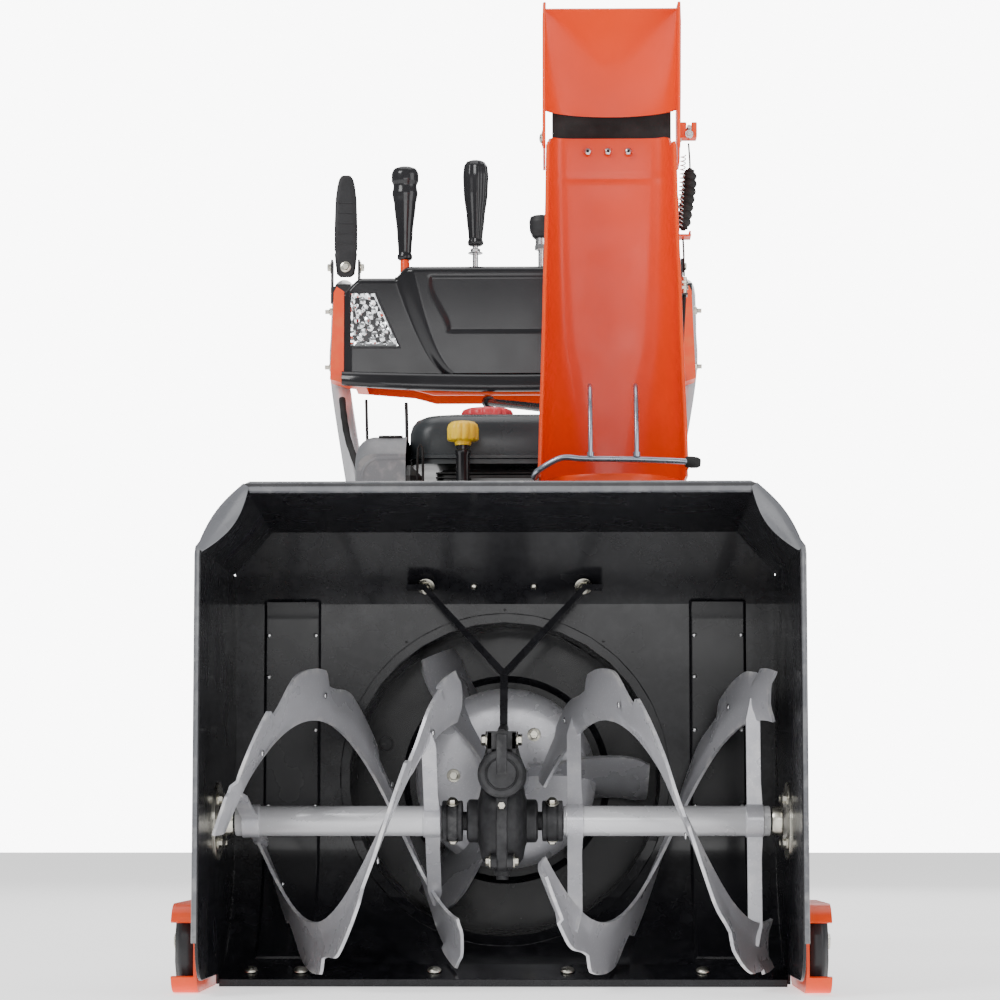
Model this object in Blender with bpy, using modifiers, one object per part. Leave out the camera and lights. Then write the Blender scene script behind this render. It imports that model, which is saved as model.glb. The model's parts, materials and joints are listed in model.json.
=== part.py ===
"""Two-stage walk-behind snow thrower, built as the separate pieces it is bolted together from.

Frame: +X to the machine's right as seen from the front, -Y is the front (the intake),
+Y is the operator's side, +Z is up.  Lengths in the constants are millimetres; `d` is
the distance behind the front edge of the auger housing.
"""
import math

import bmesh
import bpy
from mathutils import Matrix, Vector

# ---------------------------------------------------------------- driving dimensions
MM = 0.001
FRONT = 720.0            # front edge of the housing ahead of the origin
CLEAR = 0.35             # running gap between touching pieces

HOUSE_W = 307.0          # half width outside the side plates
HOUSE_T = 3.0            # sheet thickness
HOUSE_TOP = 522.0        # top of the front lip
HOUSE_BACK = 338.0       # rear wall
LIP = 4.6                # how far the front lip stands out of the side plates
CORNER_X, CORNER_Z = 261.0, 453.0   # where the top corners are chamfered

AUGER_D, AUGER_Z = 165.0, 177.0     # auger axis
AUGER_R, AUGER_RI = 163.0, 106.0    # ribbon tip and inner radius
BACK_R = 173.0                      # curved back of the housing about the auger axis

IMP_Z = 226.0            # impeller and worm axis
PADDLE_PITCH = 30.0      # slant of the impeller paddles
DRUM_R = 176.0           # inside radius of the drum
DRUM_RO = 185.7
DRUM_BACK = 470.0
IMP_R = 163.0

CHUTE_X, CHUTE_D = 123.0, 404.0     # chute turning axis
CHUTE_R = 82.0
CHUTE_Z0, CHUTE_TOP = 474.4, 993.0
DEFL_X = 124.0
DEFL_TOP = 1134.0
DEFL_PD, DEFL_PZ = 462.0, 985.0     # deflector pivot

FRAME_W, FRAME_D0, FRAME_D1 = 150.0, 474.0, 900.0
FRAME_Z0, FRAME_Z1 = 120.0, 400.0
DETAIL = 0.7             # share of the full facet count used on round pieces
WHEEL_R, WHEEL_W, WHEEL_X, WHEEL_D = 165.0, 104.0, 225.0, 760.0
CRANK_Z = 506.0
TUBE_R = 14.0
GRIP_END = 1440.0
LEVER_D, LEVER_Z = 1080.0, 880.0    # pivots of the dash levers
CLUTCH_D, CLUTCH_Z = 1180.0, 980.0  # pivots of the hand levers

# ---------------------------------------------------------------- scene set-up
for ob in list(bpy.data.objects):
    bpy.data.objects.remove(ob, do_unlink=True)
for me in list(bpy.data.meshes):
    bpy.data.meshes.remove(me)

PARTS = bpy.data.collections.new("two_stage_snow_thrower")
TOOLS = bpy.data.collections.new("cutters")
bpy.context.scene.collection.children.link(PARTS)
bpy.context.scene.collection.children.link(TOOLS)


def paint(name, rgb, rough, metal):
    mat = bpy.data.materials.new(name)
    mat.use_nodes = True
    bsdf = mat.node_tree.nodes["Principled BSDF"]
    bsdf.inputs["Base Color"].default_value = (rgb[0], rgb[1], rgb[2], 1.0)
    bsdf.inputs["Roughness"].default_value = rough
    bsdf.inputs["Metallic"].default_value = metal
    return mat


ORANGE = (1.0, 0.115, 0.002)
BLACK = (0.011, 0.011, 0.015)


def P(x, d, z):
    return Vector((x * MM, (d - FRONT) * MM, z * MM))


# ---------------------------------------------------------------- shape helpers
def mesh_object(name, bm):
    me = bpy.data.meshes.new(name)
    bm.normal_update()
    if bm.calc_volume(signed=True) < 0:
        bmesh.ops.reverse_faces(bm, faces=bm.faces)
    bm.to_mesh(me)
    bm.free()
    ob = bpy.data.objects.new(name, me)
    PARTS.objects.link(ob)
    return ob


def settle(ob):
    """Bake the modifiers of an object into its mesh."""
    bpy.context.view_layer.update()
    dg = bpy.context.evaluated_depsgraph_get()
    me = bpy.data.meshes.new_from_object(ob.evaluated_get(dg), depsgraph=dg)
    old = ob.data
    ob.modifiers.clear()
    ob.data = me
    bpy.data.meshes.remove(old)
    return ob


def box(name, x0, x1, d0, d1, z0, z1, bevel=0.0, seg=1):
    bm = bmesh.new()
    c = P((x0 + x1) / 2, (d0 + d1) / 2, (z0 + z1) / 2)
    s = (abs(x1 - x0) * MM, abs(d1 - d0) * MM, abs(z1 - z0) * MM, 1.0)
    bmesh.ops.create_cube(bm, size=1.0, matrix=Matrix.Translation(c) @ Matrix.Diagonal(s))
    ob = mesh_object(name, bm)
    if bevel:
        m = ob.modifiers.new("edges", "BEVEL")
        m.width = bevel * MM
        m.segments = seg
        m.limit_method = "ANGLE"
        settle(ob)
    return ob


def rod(name, a, b, r, seg=16, r2=None):
    """Solid round bar from point a to point b (world metres)."""
    seg = max(8, 2 * round(seg * DETAIL / 2))
    bm = bmesh.new()
    v = b - a
    rot = Vector((0, 0, 1)).rotation_difference(v.normalized()).to_matrix().to_4x4()
    bmesh.ops.create_cone(bm, cap_ends=True, cap_tris=False, segments=seg, radius1=r * MM,
                          radius2=(r if r2 is None else r2) * MM, depth=v.length,
                          matrix=Matrix.Translation((a + b) / 2) @ rot)
    return mesh_object(name, bm)


def turned(name, profile, at, axis, seg=24, closed=True):
    """Turn a profile of (radius, height) about the line through `at` along `axis`."""
    seg = max(10, 2 * round(seg * DETAIL / 2))
    me = bpy.data.meshes.new(name)
    n = len(profile)
    edges = [(i, i + 1) for i in range(n - 1)]
    if closed:
        edges.append((n - 1, 0))
    me.from_pydata([(r * MM, 0.0, h * MM) for r, h in profile], edges, [])
    ob = bpy.data.objects.new(name, me)
    PARTS.objects.link(ob)
    m = ob.modifiers.new("turn", "SCREW")
    m.axis = "Z"
    m.angle = 2 * math.pi
    m.steps = seg
    m.render_steps = seg
    m.use_merge_vertices = True
    m.merge_threshold = 0.00001
    settle(ob)
    bm = bmesh.new()
    bm.from_mesh(ob.data)
    bmesh.ops.remove_doubles(bm, verts=bm.verts, dist=0.00001)
    bmesh.ops.recalc_face_normals(bm, faces=bm.faces)
    rot = Vector((0, 0, 1)).rotation_difference(Vector(axis)).to_matrix().to_4x4()
    bmesh.ops.transform(bm, matrix=Matrix.Translation(at) @ rot, verts=bm.verts)
    bpy.data.objects.remove(ob, do_unlink=True)
    return mesh_object(name, bm)


def curve_mesh(name, cu):
    """Turn a curve into a closed mesh with its caps welded."""
    ob = bpy.data.objects.new(name + "_curve", cu)
    PARTS.objects.link(ob)
    bpy.context.view_layer.update()
    dg = bpy.context.evaluated_depsgraph_get()
    me = bpy.data.meshes.new_from_object(ob.evaluated_get(dg), depsgraph=dg)
    bm = bmesh.new()
    bm.from_mesh(me)
    bmesh.ops.remove_doubles(bm, verts=bm.verts, dist=0.000005)
    bmesh.ops.recalc_face_normals(bm, faces=bm.faces)
    bpy.data.objects.remove(ob, do_unlink=True)
    bpy.data.meshes.remove(me)
    bpy.data.curves.remove(cu)
    return mesh_object(name, bm)


def outline(name, pts, thick, place):
    """Flat outline (mm) given a thickness (mm) and set in the world by `place`."""
    cu = bpy.data.curves.new(name, "CURVE")
    cu.dimensions = "2D"
    cu.fill_mode = "BOTH"
    cu.extrude = thick * MM / 2
    sp = cu.splines.new("POLY")
    sp.points.add(len(pts) - 1)
    for p, (u, v) in zip(sp.points, pts):
        p.co = (u * MM, v * MM, 0.0, 1.0)
    sp.use_cyclic_u = True
    ob = curve_mesh(name, cu)
    ob.data.transform(place)
    fix(ob)
    return ob


def fix(ob):
    bm = bmesh.new()
    bm.from_mesh(ob.data)
    bmesh.ops.recalc_face_normals(bm, faces=bm.faces)
    if bm.calc_volume(signed=True) < 0:
        bmesh.ops.reverse_faces(bm, faces=bm.faces)
    bm.to_mesh(ob.data)
    bm.free()


def side_plate(name, pts, x0, x1):
    """Outline of (d, z) points, extruded from x0 to x1."""
    place = Matrix(((0, 0, 1, (x0 + x1) / 2 * MM), (1, 0, 0, -FRONT * MM), (0, 1, 0, 0),
                    (0, 0, 0, 1)))
    return outline(name, pts, abs(x1 - x0), place)


def front_plate(name, pts, d0, d1):
    """Outline of (x, z) points, extruded from d0 to d1."""
    place = Matrix(((1, 0, 0, 0), (0, 0, 1, ((d0 + d1) / 2 - FRONT) * MM), (0, 1, 0, 0),
                    (0, 0, 0, 1)))
    return outline(name, pts, abs(d1 - d0), place)


def top_plate(name, pts, z0, z1):
    """Outline of (x, d) points, extruded from z0 to z1."""
    place = Matrix(((1, 0, 0, 0), (0, 1, 0, -FRONT * MM), (0, 0, 1, (z0 + z1) / 2 * MM),
                    (0, 0, 0, 1)))
    return outline(name, pts, abs(z1 - z0), place)


def smooth_path(pts, step):
    """Catmull-Rom curve through the points, sampled about every `step` millimetres."""
    pts = [Vector(p) for p in pts]
    ext = [2 * pts[0] - pts[1]] + pts + [2 * pts[-1] - pts[-2]]
    out = [pts[0]]
    for i in range(1, len(ext) - 2):
        p0, p1, p2, p3 = ext[i - 1], ext[i], ext[i + 1], ext[i + 2]
        n = max(1, int(round((p2 - p1).length / step)))
        for k in range(1, n + 1):
            t = k / n
            out.append(0.5 * ((2 * p1) + (p2 - p0) * t + (2 * p0 - 5 * p1 + 4 * p2 - p3) * t * t
                              + (3 * p1 - p0 - 3 * p2 + p3) * t ** 3))
    return out


def tube(name, pts, r, res=2):
    """Round bar or cable along points given as (x, d, z) in millimetres."""
    cu = bpy.data.curves.new(name, "CURVE")
    cu.dimensions = "3D"
    cu.bevel_depth = r * MM
    cu.bevel_resolution = res
    cu.use_fill_caps = True
    sp = cu.splines.new("POLY")
    sp.points.add(len(pts) - 1)
    for p, q in zip(sp.points, pts):
        w = P(*q)
        p.co = (w.x, w.y, w.z, 1.0)
    return curve_mesh(name, cu)


def loft(name, rings):
    """Skin over closed rings of equally many points, with flat ends."""
    bm = bmesh.new()
    rows = [[bm.verts.new(P(*p)) for p in ring] for ring in rings]
    n = len(rows[0])
    for a, b in zip(rows, rows[1:]):
        for i in range(n):
            j = (i + 1) % n
            bm.faces.new((a[i], a[j], b[j], b[i]))
    bm.faces.new(rows[0][::-1])
    bm.faces.new(rows[-1])
    bmesh.ops.recalc_face_normals(bm, faces=bm.faces)
    return mesh_object(name, bm)


def combine(ob, tool, op):
    for c in list(tool.users_collection):
        c.objects.unlink(tool)
    TOOLS.objects.link(tool)
    tool.hide_render = True
    tool.display_type = "WIRE"
    m = ob.modifiers.new(op.lower(), "BOOLEAN")
    m.operation = op
    m.solver = "EXACT"
    m.object = tool
    settle(ob)
    bpy.data.objects.remove(tool, do_unlink=True)
    return ob


def cut(ob, *tools):
    for t in tools:
        combine(ob, t, "DIFFERENCE")
    return ob


def join(ob, *tools):
    for t in tools:
        combine(ob, t, "UNION")
    return ob


def tidy(ob):
    """Weld the slivers left by cutting."""
    bm = bmesh.new()
    bm.from_mesh(ob.data)
    bmesh.ops.remove_doubles(bm, verts=bm.verts, dist=0.00002)
    bmesh.ops.dissolve_degenerate(bm, edges=bm.edges, dist=0.00002)
    bm.to_mesh(ob.data)
    bm.free()
    return ob


def arc(cx, cy, r, a0, a1, n):
    return [(cx + r * math.cos(math.radians(a0 + (a1 - a0) * i / n)),
             cy + r * math.sin(math.radians(a0 + (a1 - a0) * i / n))) for i in range(n + 1)]


SMOOTH = math.radians(32)
PIVOTS = {}


def done(name, ob, mat, pivot=None):
    """Name a finished piece, give it its material and set its origin."""
    ob.name = name
    ob.data.name = name
    ob.data.materials.clear()
    ob.data.materials.append(mat)
    ob.data.shade_smooth()
    ob.data.set_sharp_from_angle(angle=SMOOTH)
    if pivot is None:
        lo = Vector([min(v.co[i] for v in ob.data.vertices) for i in range(3)])
        hi = Vector([max(v.co[i] for v in ob.data.vertices) for i in range(3)])
        pivot = (lo + hi) / 2
    ob.data.transform(Matrix.Translation(-pivot))
    ob.location = pivot
    PIVOTS[name] = pivot
    return ob


BASE_MATS = {
    "black_paint": paint("black_paint", BLACK, 0.22, 0.0),
    "orange_paint": paint("orange_paint", ORANGE, 0.3, 0.0),
    "silver_paint": paint("silver_paint", (0.42, 0.43, 0.45), 0.45, 0.4),
    "zinc": paint("zinc", (0.55, 0.54, 0.5), 0.32, 1.0),
    "steel": paint("steel", (0.5, 0.5, 0.5), 0.3, 1.0),
    "cast": paint("cast_black", (0.02, 0.02, 0.022), 0.5, 0.2),
    "black_plastic": paint("black_plastic", (0.018, 0.018, 0.02), 0.45, 0.0),
    "gloss_plastic": paint("gloss_black_plastic", (0.01, 0.01, 0.012), 0.15, 0.0),
    "rubber": paint("rubber", (0.012, 0.012, 0.012), 0.75, 0.0),
    "tank": paint("tank_plastic", (0.025, 0.032, 0.036), 0.35, 0.0),
    "grey": paint("grey_plastic", (0.2, 0.21, 0.22), 0.5, 0.0),
    "yellow": paint("yellow_plastic", (0.9, 0.6, 0.02), 0.4, 0.0),
    "pink_red": paint("red_plastic", (0.75, 0.05, 0.08), 0.4, 0.0),
    "lens": paint("clear_lens", (0.85, 0.88, 0.9), 0.05, 0.0),
    "bronze": paint("bronze", (0.5, 0.3, 0.12), 0.35, 1.0),
    "engine": paint("engine_black", (0.02, 0.02, 0.02), 0.4, 0.3),
}
MAT = {}


def mat_for(name, base):
    """Each piece gets its own copy of its finish."""
    m = BASE_MATS[base].copy()
    m.name = name + "_" + base
    MAT[name] = m
    return m


def piece(name, ob, base, pivot=None):
    return done(name, ob, mat_for(name, base), pivot)


# ---------------------------------------------------------------- auger housing
def house_side(off, closed_front):
    """Side profile (d, z) of the housing, grown outwards by `off`."""
    t = off
    pts = [(0 if closed_front else -30, HOUSE_TOP - 3 + t), (288 + t * 0.6, 502 + t),
           (HOUSE_BACK + t, 424 + t * 0.6), (HOUSE_BACK + t, AUGER_Z)]
    pts += arc(AUGER_D, AUGER_Z, BACK_R + t, 0, -66, 9)[1:]
    return pts


def front_section(off):
    """Front cross-section (x, z) grown outwards by `off`."""
    w = HOUSE_W + off
    return [(-w, -40), (-w, CORNER_Z + off * 0.3), (-CORNER_X - off * 0.3, HOUSE_TOP - 3 + off),
            (CORNER_X + off * 0.3, HOUSE_TOP - 3 + off), (w, CORNER_Z + off * 0.3), (w, -40)]


outer = house_side(0, True) + [(186, 2.8), (186, 14)] + arc(42, 56, 42, -90, -180, 5)
outer[0] = (0, HOUSE_TOP - 3)
house = side_plate("auger_housing", outer, -HOUSE_W, HOUSE_W)
combine(house, front_plate("t", front_section(0), -5, 400), "INTERSECT")
inner = house_side(-HOUSE_T, False) + [(185.9, 5.8), (170, -12), (-30, -12)]
hollow = side_plate("t", inner, -HOUSE_W + HOUSE_T, HOUSE_W - HOUSE_T)
combine(hollow, front_plate("t", front_section(-HOUSE_T), -60, 400), "INTERSECT")
cut(house, hollow)
# rolled front lip round the top and the sides
lip_out = [(-311.6, 60), (-311.6, 453), (-261, 522), (261, 522), (311.6, 453), (311.6, 60)]
lip_in = [(-304.6, 20), (-304.6, 447), (-256.5, 509), (256.5, 509), (304.6, 447), (304.6, 20)]
lip = front_plate("t", lip_out, 0, 12)
cut(lip, front_plate("t", lip_in, -5, 20))
join(house, lip)
cut(house, rod("t", P(0, 200, IMP_Z), P(0, 420, IMP_Z), 186.0, 48))
for s in (-1, 1):
    cut(house, rod("t", P(s * 280, AUGER_D, AUGER_Z), P(s * 330, AUGER_D, AUGER_Z), 11, 16))
piece("auger_housing", tidy(house), "black_paint")

# ---------------------------------------------------------------- impeller drum and outlet
drum = rod("t", P(0, 240, IMP_Z), P(0, DRUM_BACK + 3, IMP_Z), DRUM_RO, 48)
join(drum, rod("t", P(CHUTE_X, CHUTE_D, 258), P(CHUTE_X, CHUTE_D, 470), 62, 28))
join(drum, rod("t", P(CHUTE_X, CHUTE_D, 467), P(CHUTE_X, CHUTE_D, 474), 80, 28))
cut(drum, rod("t", P(0, 200, IMP_Z), P(0, DRUM_BACK, IMP_Z), DRUM_R, 48))
cut(drum, rod("t", P(CHUTE_X, CHUTE_D, 263), P(CHUTE_X, CHUTE_D, 480), 58, 28))
cut(drum, rod("t", P(0, 440, IMP_Z), P(0, 490, IMP_Z), 12, 16))
shadow = house_side(CLEAR, True) + [(186, -60), (-30, -60)]
cut(drum, side_plate("t", shadow, -330, 330))
piece("impeller_drum", tidy(drum), "black_paint")

# ---------------------------------------------------------------- scraper bar
bar = side_plate("t", [(182.5, 0.5), (185.6, 0.5), (185.6, 6.3), (226, 19.8), (226, 22.4),
                       (182.5, 8.6)], -303.5, 303.5)
piece("scraper_bar", bar, "black_paint")

# ---------------------------------------------------------------- skid shoes
for side, s in (("left", -1), ("right", 1)):
    web = side_plate("t", [(58, 62)] + arc(84, 26, 26, 180, 270, 4) + arc(224, 26, 26, -90, 0, 4)
                     + [(250, 62)] + arc(224, 64, 28, 0, 90, 3) + arc(84, 64, 28, 90, 180, 3),
                     s * 311.9, s * 315.4)
    foot = side_plate("t", arc(84, 26, 26, 180, 270, 5) + arc(224, 26, 26, -90, 0, 5)
                      + arc(224, 26, 22, 0, -90, 5) + arc(84, 26, 22, 270, 180, 5),
                      s * 313.5, s * 339)
    head = side_plate("t", arc(224, 64, 28, 0, 90, 4) + arc(84, 64, 28, 90, 180, 4)
                      + arc(84, 64, 24, 180, 90, 4) + arc(224, 64, 24, 90, 0, 4),
                      s * 313.5, s * 339)
    join(web, foot, head)
    # the two spacers that hold the shoe off the side plate
    for dd in (110, 200):
        join(web, rod("t", P(s * 307.3, dd, 52), P(s * 314, dd, 52), 9, 12))
    piece("skid_shoe_" + side, tidy(web), "orange_paint")

# ---------------------------------------------------------------- auger gearbox
def gearcase():
    g = rod("t", P(-23, AUGER_D, AUGER_Z), P(23, AUGER_D, AUGER_Z), 51, 28)
    join(g, rod("t", P(-38, AUGER_D, AUGER_Z), P(38, AUGER_D, AUGER_Z), 23, 20))
    join(g, rod("t", P(0, 106, IMP_Z), P(0, 288, IMP_Z), 25, 20))
    join(g, box("t", -24, 24, 150, 262, 226, 262, 3))
    cut(g, rod("t", P(-16, AUGER_D, AUGER_Z), P(16, AUGER_D, AUGER_Z), 42, 28))
    cut(g, rod("t", P(0, 112, IMP_Z), P(0, 276, IMP_Z), 16.5, 18))
    cut(g, rod("t", P(-60, AUGER_D, AUGER_Z), P(60, AUGER_D, AUGER_Z), 10.9, 16))
    cut(g, rod("t", P(0, 270, IMP_Z), P(0, 300, IMP_Z), 10.9, 16))
    return g


for side, s in (("left", -1), ("right", 1)):
    g = gearcase()
    cut(g, box("t", -s * 90, s * 0.18, 60, 330, 80, 300) if s > 0
        else box("t", -0.18, 90, 60, 330, 80, 300))
    piece("gearbox_case_" + side, tidy(g), "cast")

# brace: two bent straps back to back on the gearbox, fanning out to the rear wall
half = [(4.2, 266), (4.2, 338), (92, 436), (110, 436), (110, 441.5), (89, 441.5),
        (0.0, 345)]
full = half + [(-x, z) for x, z in reversed(half) if x > 0]
brace = front_plate("t", full, 236, 262)
k = (307.0 - 246.0) / (441.0 - 266.0)
for v in brace.data.vertices:
    v.co.y += k * (v.co.z - 0.266)
cut(brace, side_plate("t", [(500, 520), (259.6, 536), (331.5, 423),
                            (331.5, 380), (500, 380)], -200, 200))
piece("gearbox_brace", tidy(brace), "black_paint")

for side, s in (("left", -1), ("right", 1)):
    ring = turned("t", [(10.6, 0), (26, 0), (30, -4.5), (40, -4.5), (40, -7.6), (24, -7.6),
                        (16, -2.5), (10.6, -2.5)],
                  P(s * 296, AUGER_D, AUGER_Z), (-s, 0, 0), 24)
    piece("bearing_flange_" + side, ring, "zinc")

# ---------------------------------------------------------------- augers
def helix_angle(side, x):
    x = abs(x)
    return 90 - (x - 33) * 90 / 82 if side < 0 else 90 - (x - 105) * 90 / 83


def ribbon(s, x0, x1, turn, steps=22, t=4.0):
    bm = bmesh.new()
    rows = []
    for i in range(steps + 1):
        x = x0 + (x1 - x0) * i / steps
        a = math.radians(helix_angle(s, x) + turn)
        row = []
        for r, dx in ((AUGER_RI, -t / 2), (AUGER_R, -t / 2), (AUGER_R, t / 2), (AUGER_RI, t / 2)):
            row.append(bm.verts.new(P(s * (x + dx), AUGER_D - r * math.cos(a),
                                      AUGER_Z + r * math.sin(a))))
        rows.append(row)
    for a, b in zip(rows, rows[1:]):
        for i in range(4):
            j = (i + 1) % 4
            bm.faces.new((a[i], a[j], b[j], b[i]))
    bm.faces.new(rows[0][::-1])
    bm.faces.new(rows[-1])
    bmesh.ops.recalc_face_normals(bm, faces=bm.faces)
    return mesh_object("t", bm)


def cross_bar(s, x):
    a = math.radians(helix_angle(s, x))
    v = Vector((0, -math.cos(a), math.sin(a)))
    bm = bmesh.new()
    rot = Matrix((Vector((1, 0, 0)), v, Vector((1, 0, 0)).cross(v))).transposed().to_4x4()
    bmesh.ops.create_cube(bm, size=1.0, matrix=Matrix.Translation(P(s * x, AUGER_D, AUGER_Z)) @ rot
                          @ Matrix.Diagonal((17 * MM, 2 * 114 * MM, 5 * MM, 1)))
    return mesh_object("t", bm)


AUGER_PIVOT = P(0, AUGER_D, AUGER_Z)
for side, s, x0, bars in (("left", -1, 45, (75, 268)), ("right", 1, 41, (77, 268))):
    a = rod("t", P(s * 64.4, AUGER_D, AUGER_Z), P(s * 288, AUGER_D, AUGER_Z), 16, 16)
    for x in bars:
        join(a, cross_bar(s, x))
    join(a, ribbon(s, x0, 285, 0), ribbon(s, x0, 285, 180))
    cut(a, rod("t", P(s * 60, AUGER_D, AUGER_Z), P(s * 300, AUGER_D, AUGER_Z), 10.9, 16))
    piece("auger_" + side, tidy(a), "silver_paint", AUGER_PIVOT)

prof = [(0, -302)] + [(10, -302), (10, -64), (22, -64), (22, -42), (10, -42), (10, 42), (22, 42),
                      (22, 64), (10, 64), (10, 302)] + [(0, 302)]
piece("auger_shaft", turned("t", prof, AUGER_PIVOT, (1, 0, 0), 16, closed=False), "cast",
      AUGER_PIVOT)
wheel = turned("t", [(10.5, -9), (10.5, 9), (20, 9), (20, 6), (35.5, 6), (35.5, -6), (20, -6),
                     (20, -9)], AUGER_PIVOT, (1, 0, 0), 24)
piece("worm_wheel", wheel, "bronze", AUGER_PIVOT)

# ---------------------------------------------------------------- impeller
IMP_PIVOT = P(0, 400, IMP_Z)
prof = [(0, 122), (12.8, 122), (12.8, 196), (10, 196), (10, 545), (0, 545)]
shaft = turned("t", [(r, h) for r, h in prof], P(0, 0, IMP_Z), (0, 1, 0), 16, closed=False)
piece("impeller_shaft", shaft, "steel", IMP_PIVOT)
imp = rod("t", P(0, 380, IMP_Z), P(0, 452, IMP_Z), 26, 20)
join(imp, rod("t", P(0, 398, IMP_Z), P(0, 402, IMP_Z), 100, 28))
for k in range(3):
    a = math.radians(117 - 120 * k)
    v = Vector((math.cos(a), 0, math.sin(a)))
    n = Vector((-math.sin(a), 0, math.cos(a)))
    bm = bmesh.new()
    y = Vector((0, 1, 0))
    pitch = math.radians(PADDLE_PITCH)
    w, m = y * math.cos(pitch) - n * math.sin(pitch), n * math.cos(pitch) + y * math.sin(pitch)
    rot = Matrix((v, w, m)).transposed().to_4x4()
    bmesh.ops.create_cube(bm, size=1.0, matrix=Matrix.Translation(
        P(0, 404, IMP_Z) + v * (20 + IMP_R) / 2 * MM) @ rot
        @ Matrix.Diagonal(((IMP_R - 20) * MM, 92 * MM, 4 * MM, 1)))
    join(imp, mesh_object("t", bm))
cut(imp, rod("t", P(0, 340, IMP_Z), P(0, 480, IMP_Z), 10.5, 16))
piece("impeller", tidy(imp), "silver_paint", IMP_PIVOT)
pul = turned("t", [(10.5, -15), (24, -15), (24, -8), (88, -8), (92, -11), (92, -8), (84, 0),
                   (92, 8), (92, 11), (88, 8), (24, 8), (24, 15), (10.5, 15)],
             P(0, 520, IMP_Z), (0, 1, 0), 32)
piece("impeller_pulley", pul, "steel", IMP_PIVOT)

# ---------------------------------------------------------------- engine pulley and belt
CRANK = P(0, 520, CRANK_Z)
pul = turned("t", [(0, -14), (18, -14), (18, -9), (40, -9), (40, -6), (33, 0), (40, 6), (40, 9),
                   (18, 9), (11, 9), (11, 40), (0, 40)], CRANK, (0, 1, 0), 24, closed=False)
piece("engine_pulley", pul, "steel", CRANK)


def belt_loop(grow):
    r0, r1 = 92.0 + grow, 40.0 + grow
    h = CRANK_Z - IMP_Z
    a = math.degrees(math.asin((r0 - r1) / h))
    return arc(0, IMP_Z, r0, 180 - a, 360 + a, 14) + arc(0, CRANK_Z, r1, a, 180 - a, 9)


belt = front_plate("t", belt_loop(9), 515, 525)
cut(belt, front_plate("t", belt_loop(0.6), 510, 530))
piece("drive_belt", tidy(belt), "rubber")

# ---------------------------------------------------------------- tractor frame and belt cover
fr = box("t", -FRAME_W, FRAME_W, FRAME_D0, FRAME_D1, FRAME_Z0, FRAME_Z1)
cut(fr, box("t", -FRAME_W + 4, FRAME_W - 4, FRAME_D0 + 4, FRAME_D1 - 4, 60, FRAME_Z1 - 4))
cut(fr, box("t", -104, 104, 490, 550, 380, 420))
cut(fr, rod("t", P(0, 460, IMP_Z), P(0, 485, IMP_Z), 16, 16))
cut(fr, rod("t", P(-200, WHEEL_D, WHEEL_R), P(200, WHEEL_D, WHEEL_R), 13, 16))
piece("tractor_frame", tidy(fr), "black_paint")

cover_out = [(-106, 400.4), (-106, 455), (-62, 562), (62, 562), (106, 455), (106, 400.4)]
cover_in = [(-102, 390), (-102, 454), (-59, 558), (59, 558), (102, 454), (102, 390)]
cov = front_plate("t", cover_out, 492, 556)
# post on the cover that carries the lower end of the chute steering rod
join(cov, box("t", 74, 96, 524, 546, 478, 692, 3))
cut(cov, front_plate("t", cover_in, 496, 552))
cut(cov, rod("t", P(0, 548, CRANK_Z), P(0, 560, CRANK_Z), 14, 16))
piece("belt_cover", tidy(cov), "black_plastic")

# ---------------------------------------------------------------- wheels and axle
AXLE = P(0, WHEEL_D, WHEEL_R)
prof = [(0, -287), (9.6, -287), (9.6, -168), (10.5, -168), (10.5, 168), (9.6, 168), (9.6, 287),
        (0, 287)]
piece("axle", turned("t", prof, AXLE, (1, 0, 0), 16, closed=False), "steel", AXLE)
prof = [(90.4, -44), (98, -50), (130, -52), (152, -48), (158, -40), (165, -32), (165, 32),
        (158, 40), (152, 48), (130, 52), (98, 50), (90.4, 44)]
for side, s in (("left", -1), ("right", 1)):
    c = P(s * WHEEL_X, WHEEL_D, WHEEL_R)
    piece("tyre_" + side, turned("t", prof, c, (s, 0, 0), 32), "rubber", AXLE)
    r = [(10.9, -45), (26, -45), (26, -12), (60, -8), (80, -34), (84, -44), (90, -44), (90, 44),
         (84, 44), (80, 30), (70, 2), (26, 2), (26, 30), (10.9, 30)]
    piece("rim_" + side, turned("t", r, c, (-s, 0, 0), 32), "silver_paint", AXLE)

# ---------------------------------------------------------------- engine
eng = box("t", -105, 105, 572, 800, 400.4, 566, 10)
join(eng, box("t", -60, 148, 600, 720, 470, 600, 8))
join(eng, box("t", -90, 90, 660, 800, 560, 618, 8))
cut(eng, rod("t", P(0, 560, CRANK_Z), P(0, 640, CRANK_Z), 13, 16))
cut(eng, rod("t", P(-56, 606, 545), P(-56, 606, 600), 10.4, 12))
piece("engine_block", tidy(eng), "engine")
crank = None
rec = turned("t", [(0, 0), (104, 0), (108, 6), (108, 70), (98, 90), (66, 102), (58, 97),
                   (24, 97), (20, 102), (0, 102)], P(0, 800.5, CRANK_Z + 4), (0, 1, 0), 32,
             closed=False)
piece("recoil_cover", rec, "black_plastic")

rings = []
for z, g in ((624, -8), (628, 0), (655, 2), (676, 0), (684, -6), (688, -22)):
    w, d0, d1, c = 124 + g, 646 - g, 856 + g, 26
    ring = []
    for cx, cy, a0 in ((w - c, d1 - c, 0), (-w + c, d1 - c, 90), (-w + c, d0 + c, 180),
                       (w - c, d0 + c, 270)):
        ring += [(x, y, z) for x, y in arc(cx, cy, c, a0, a0 + 90, 4)]
    rings.append(ring)
tank = loft("t", rings)
join(tank, rod("t", P(-29, 752, 680), P(-29, 752, 692), 26, 20))
piece("fuel_tank", tidy(tank), "tank")
CAP = P(-29, 752, 700)
cap = turned("t", [(0, 0), (34, 0), (34, 10), (30, 14.5), (0, 14.5)], P(-29, 752, 692.4),
             (0, 0, 1), 24, closed=False)
piece("fuel_cap", cap, "pink_red", CAP)

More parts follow.
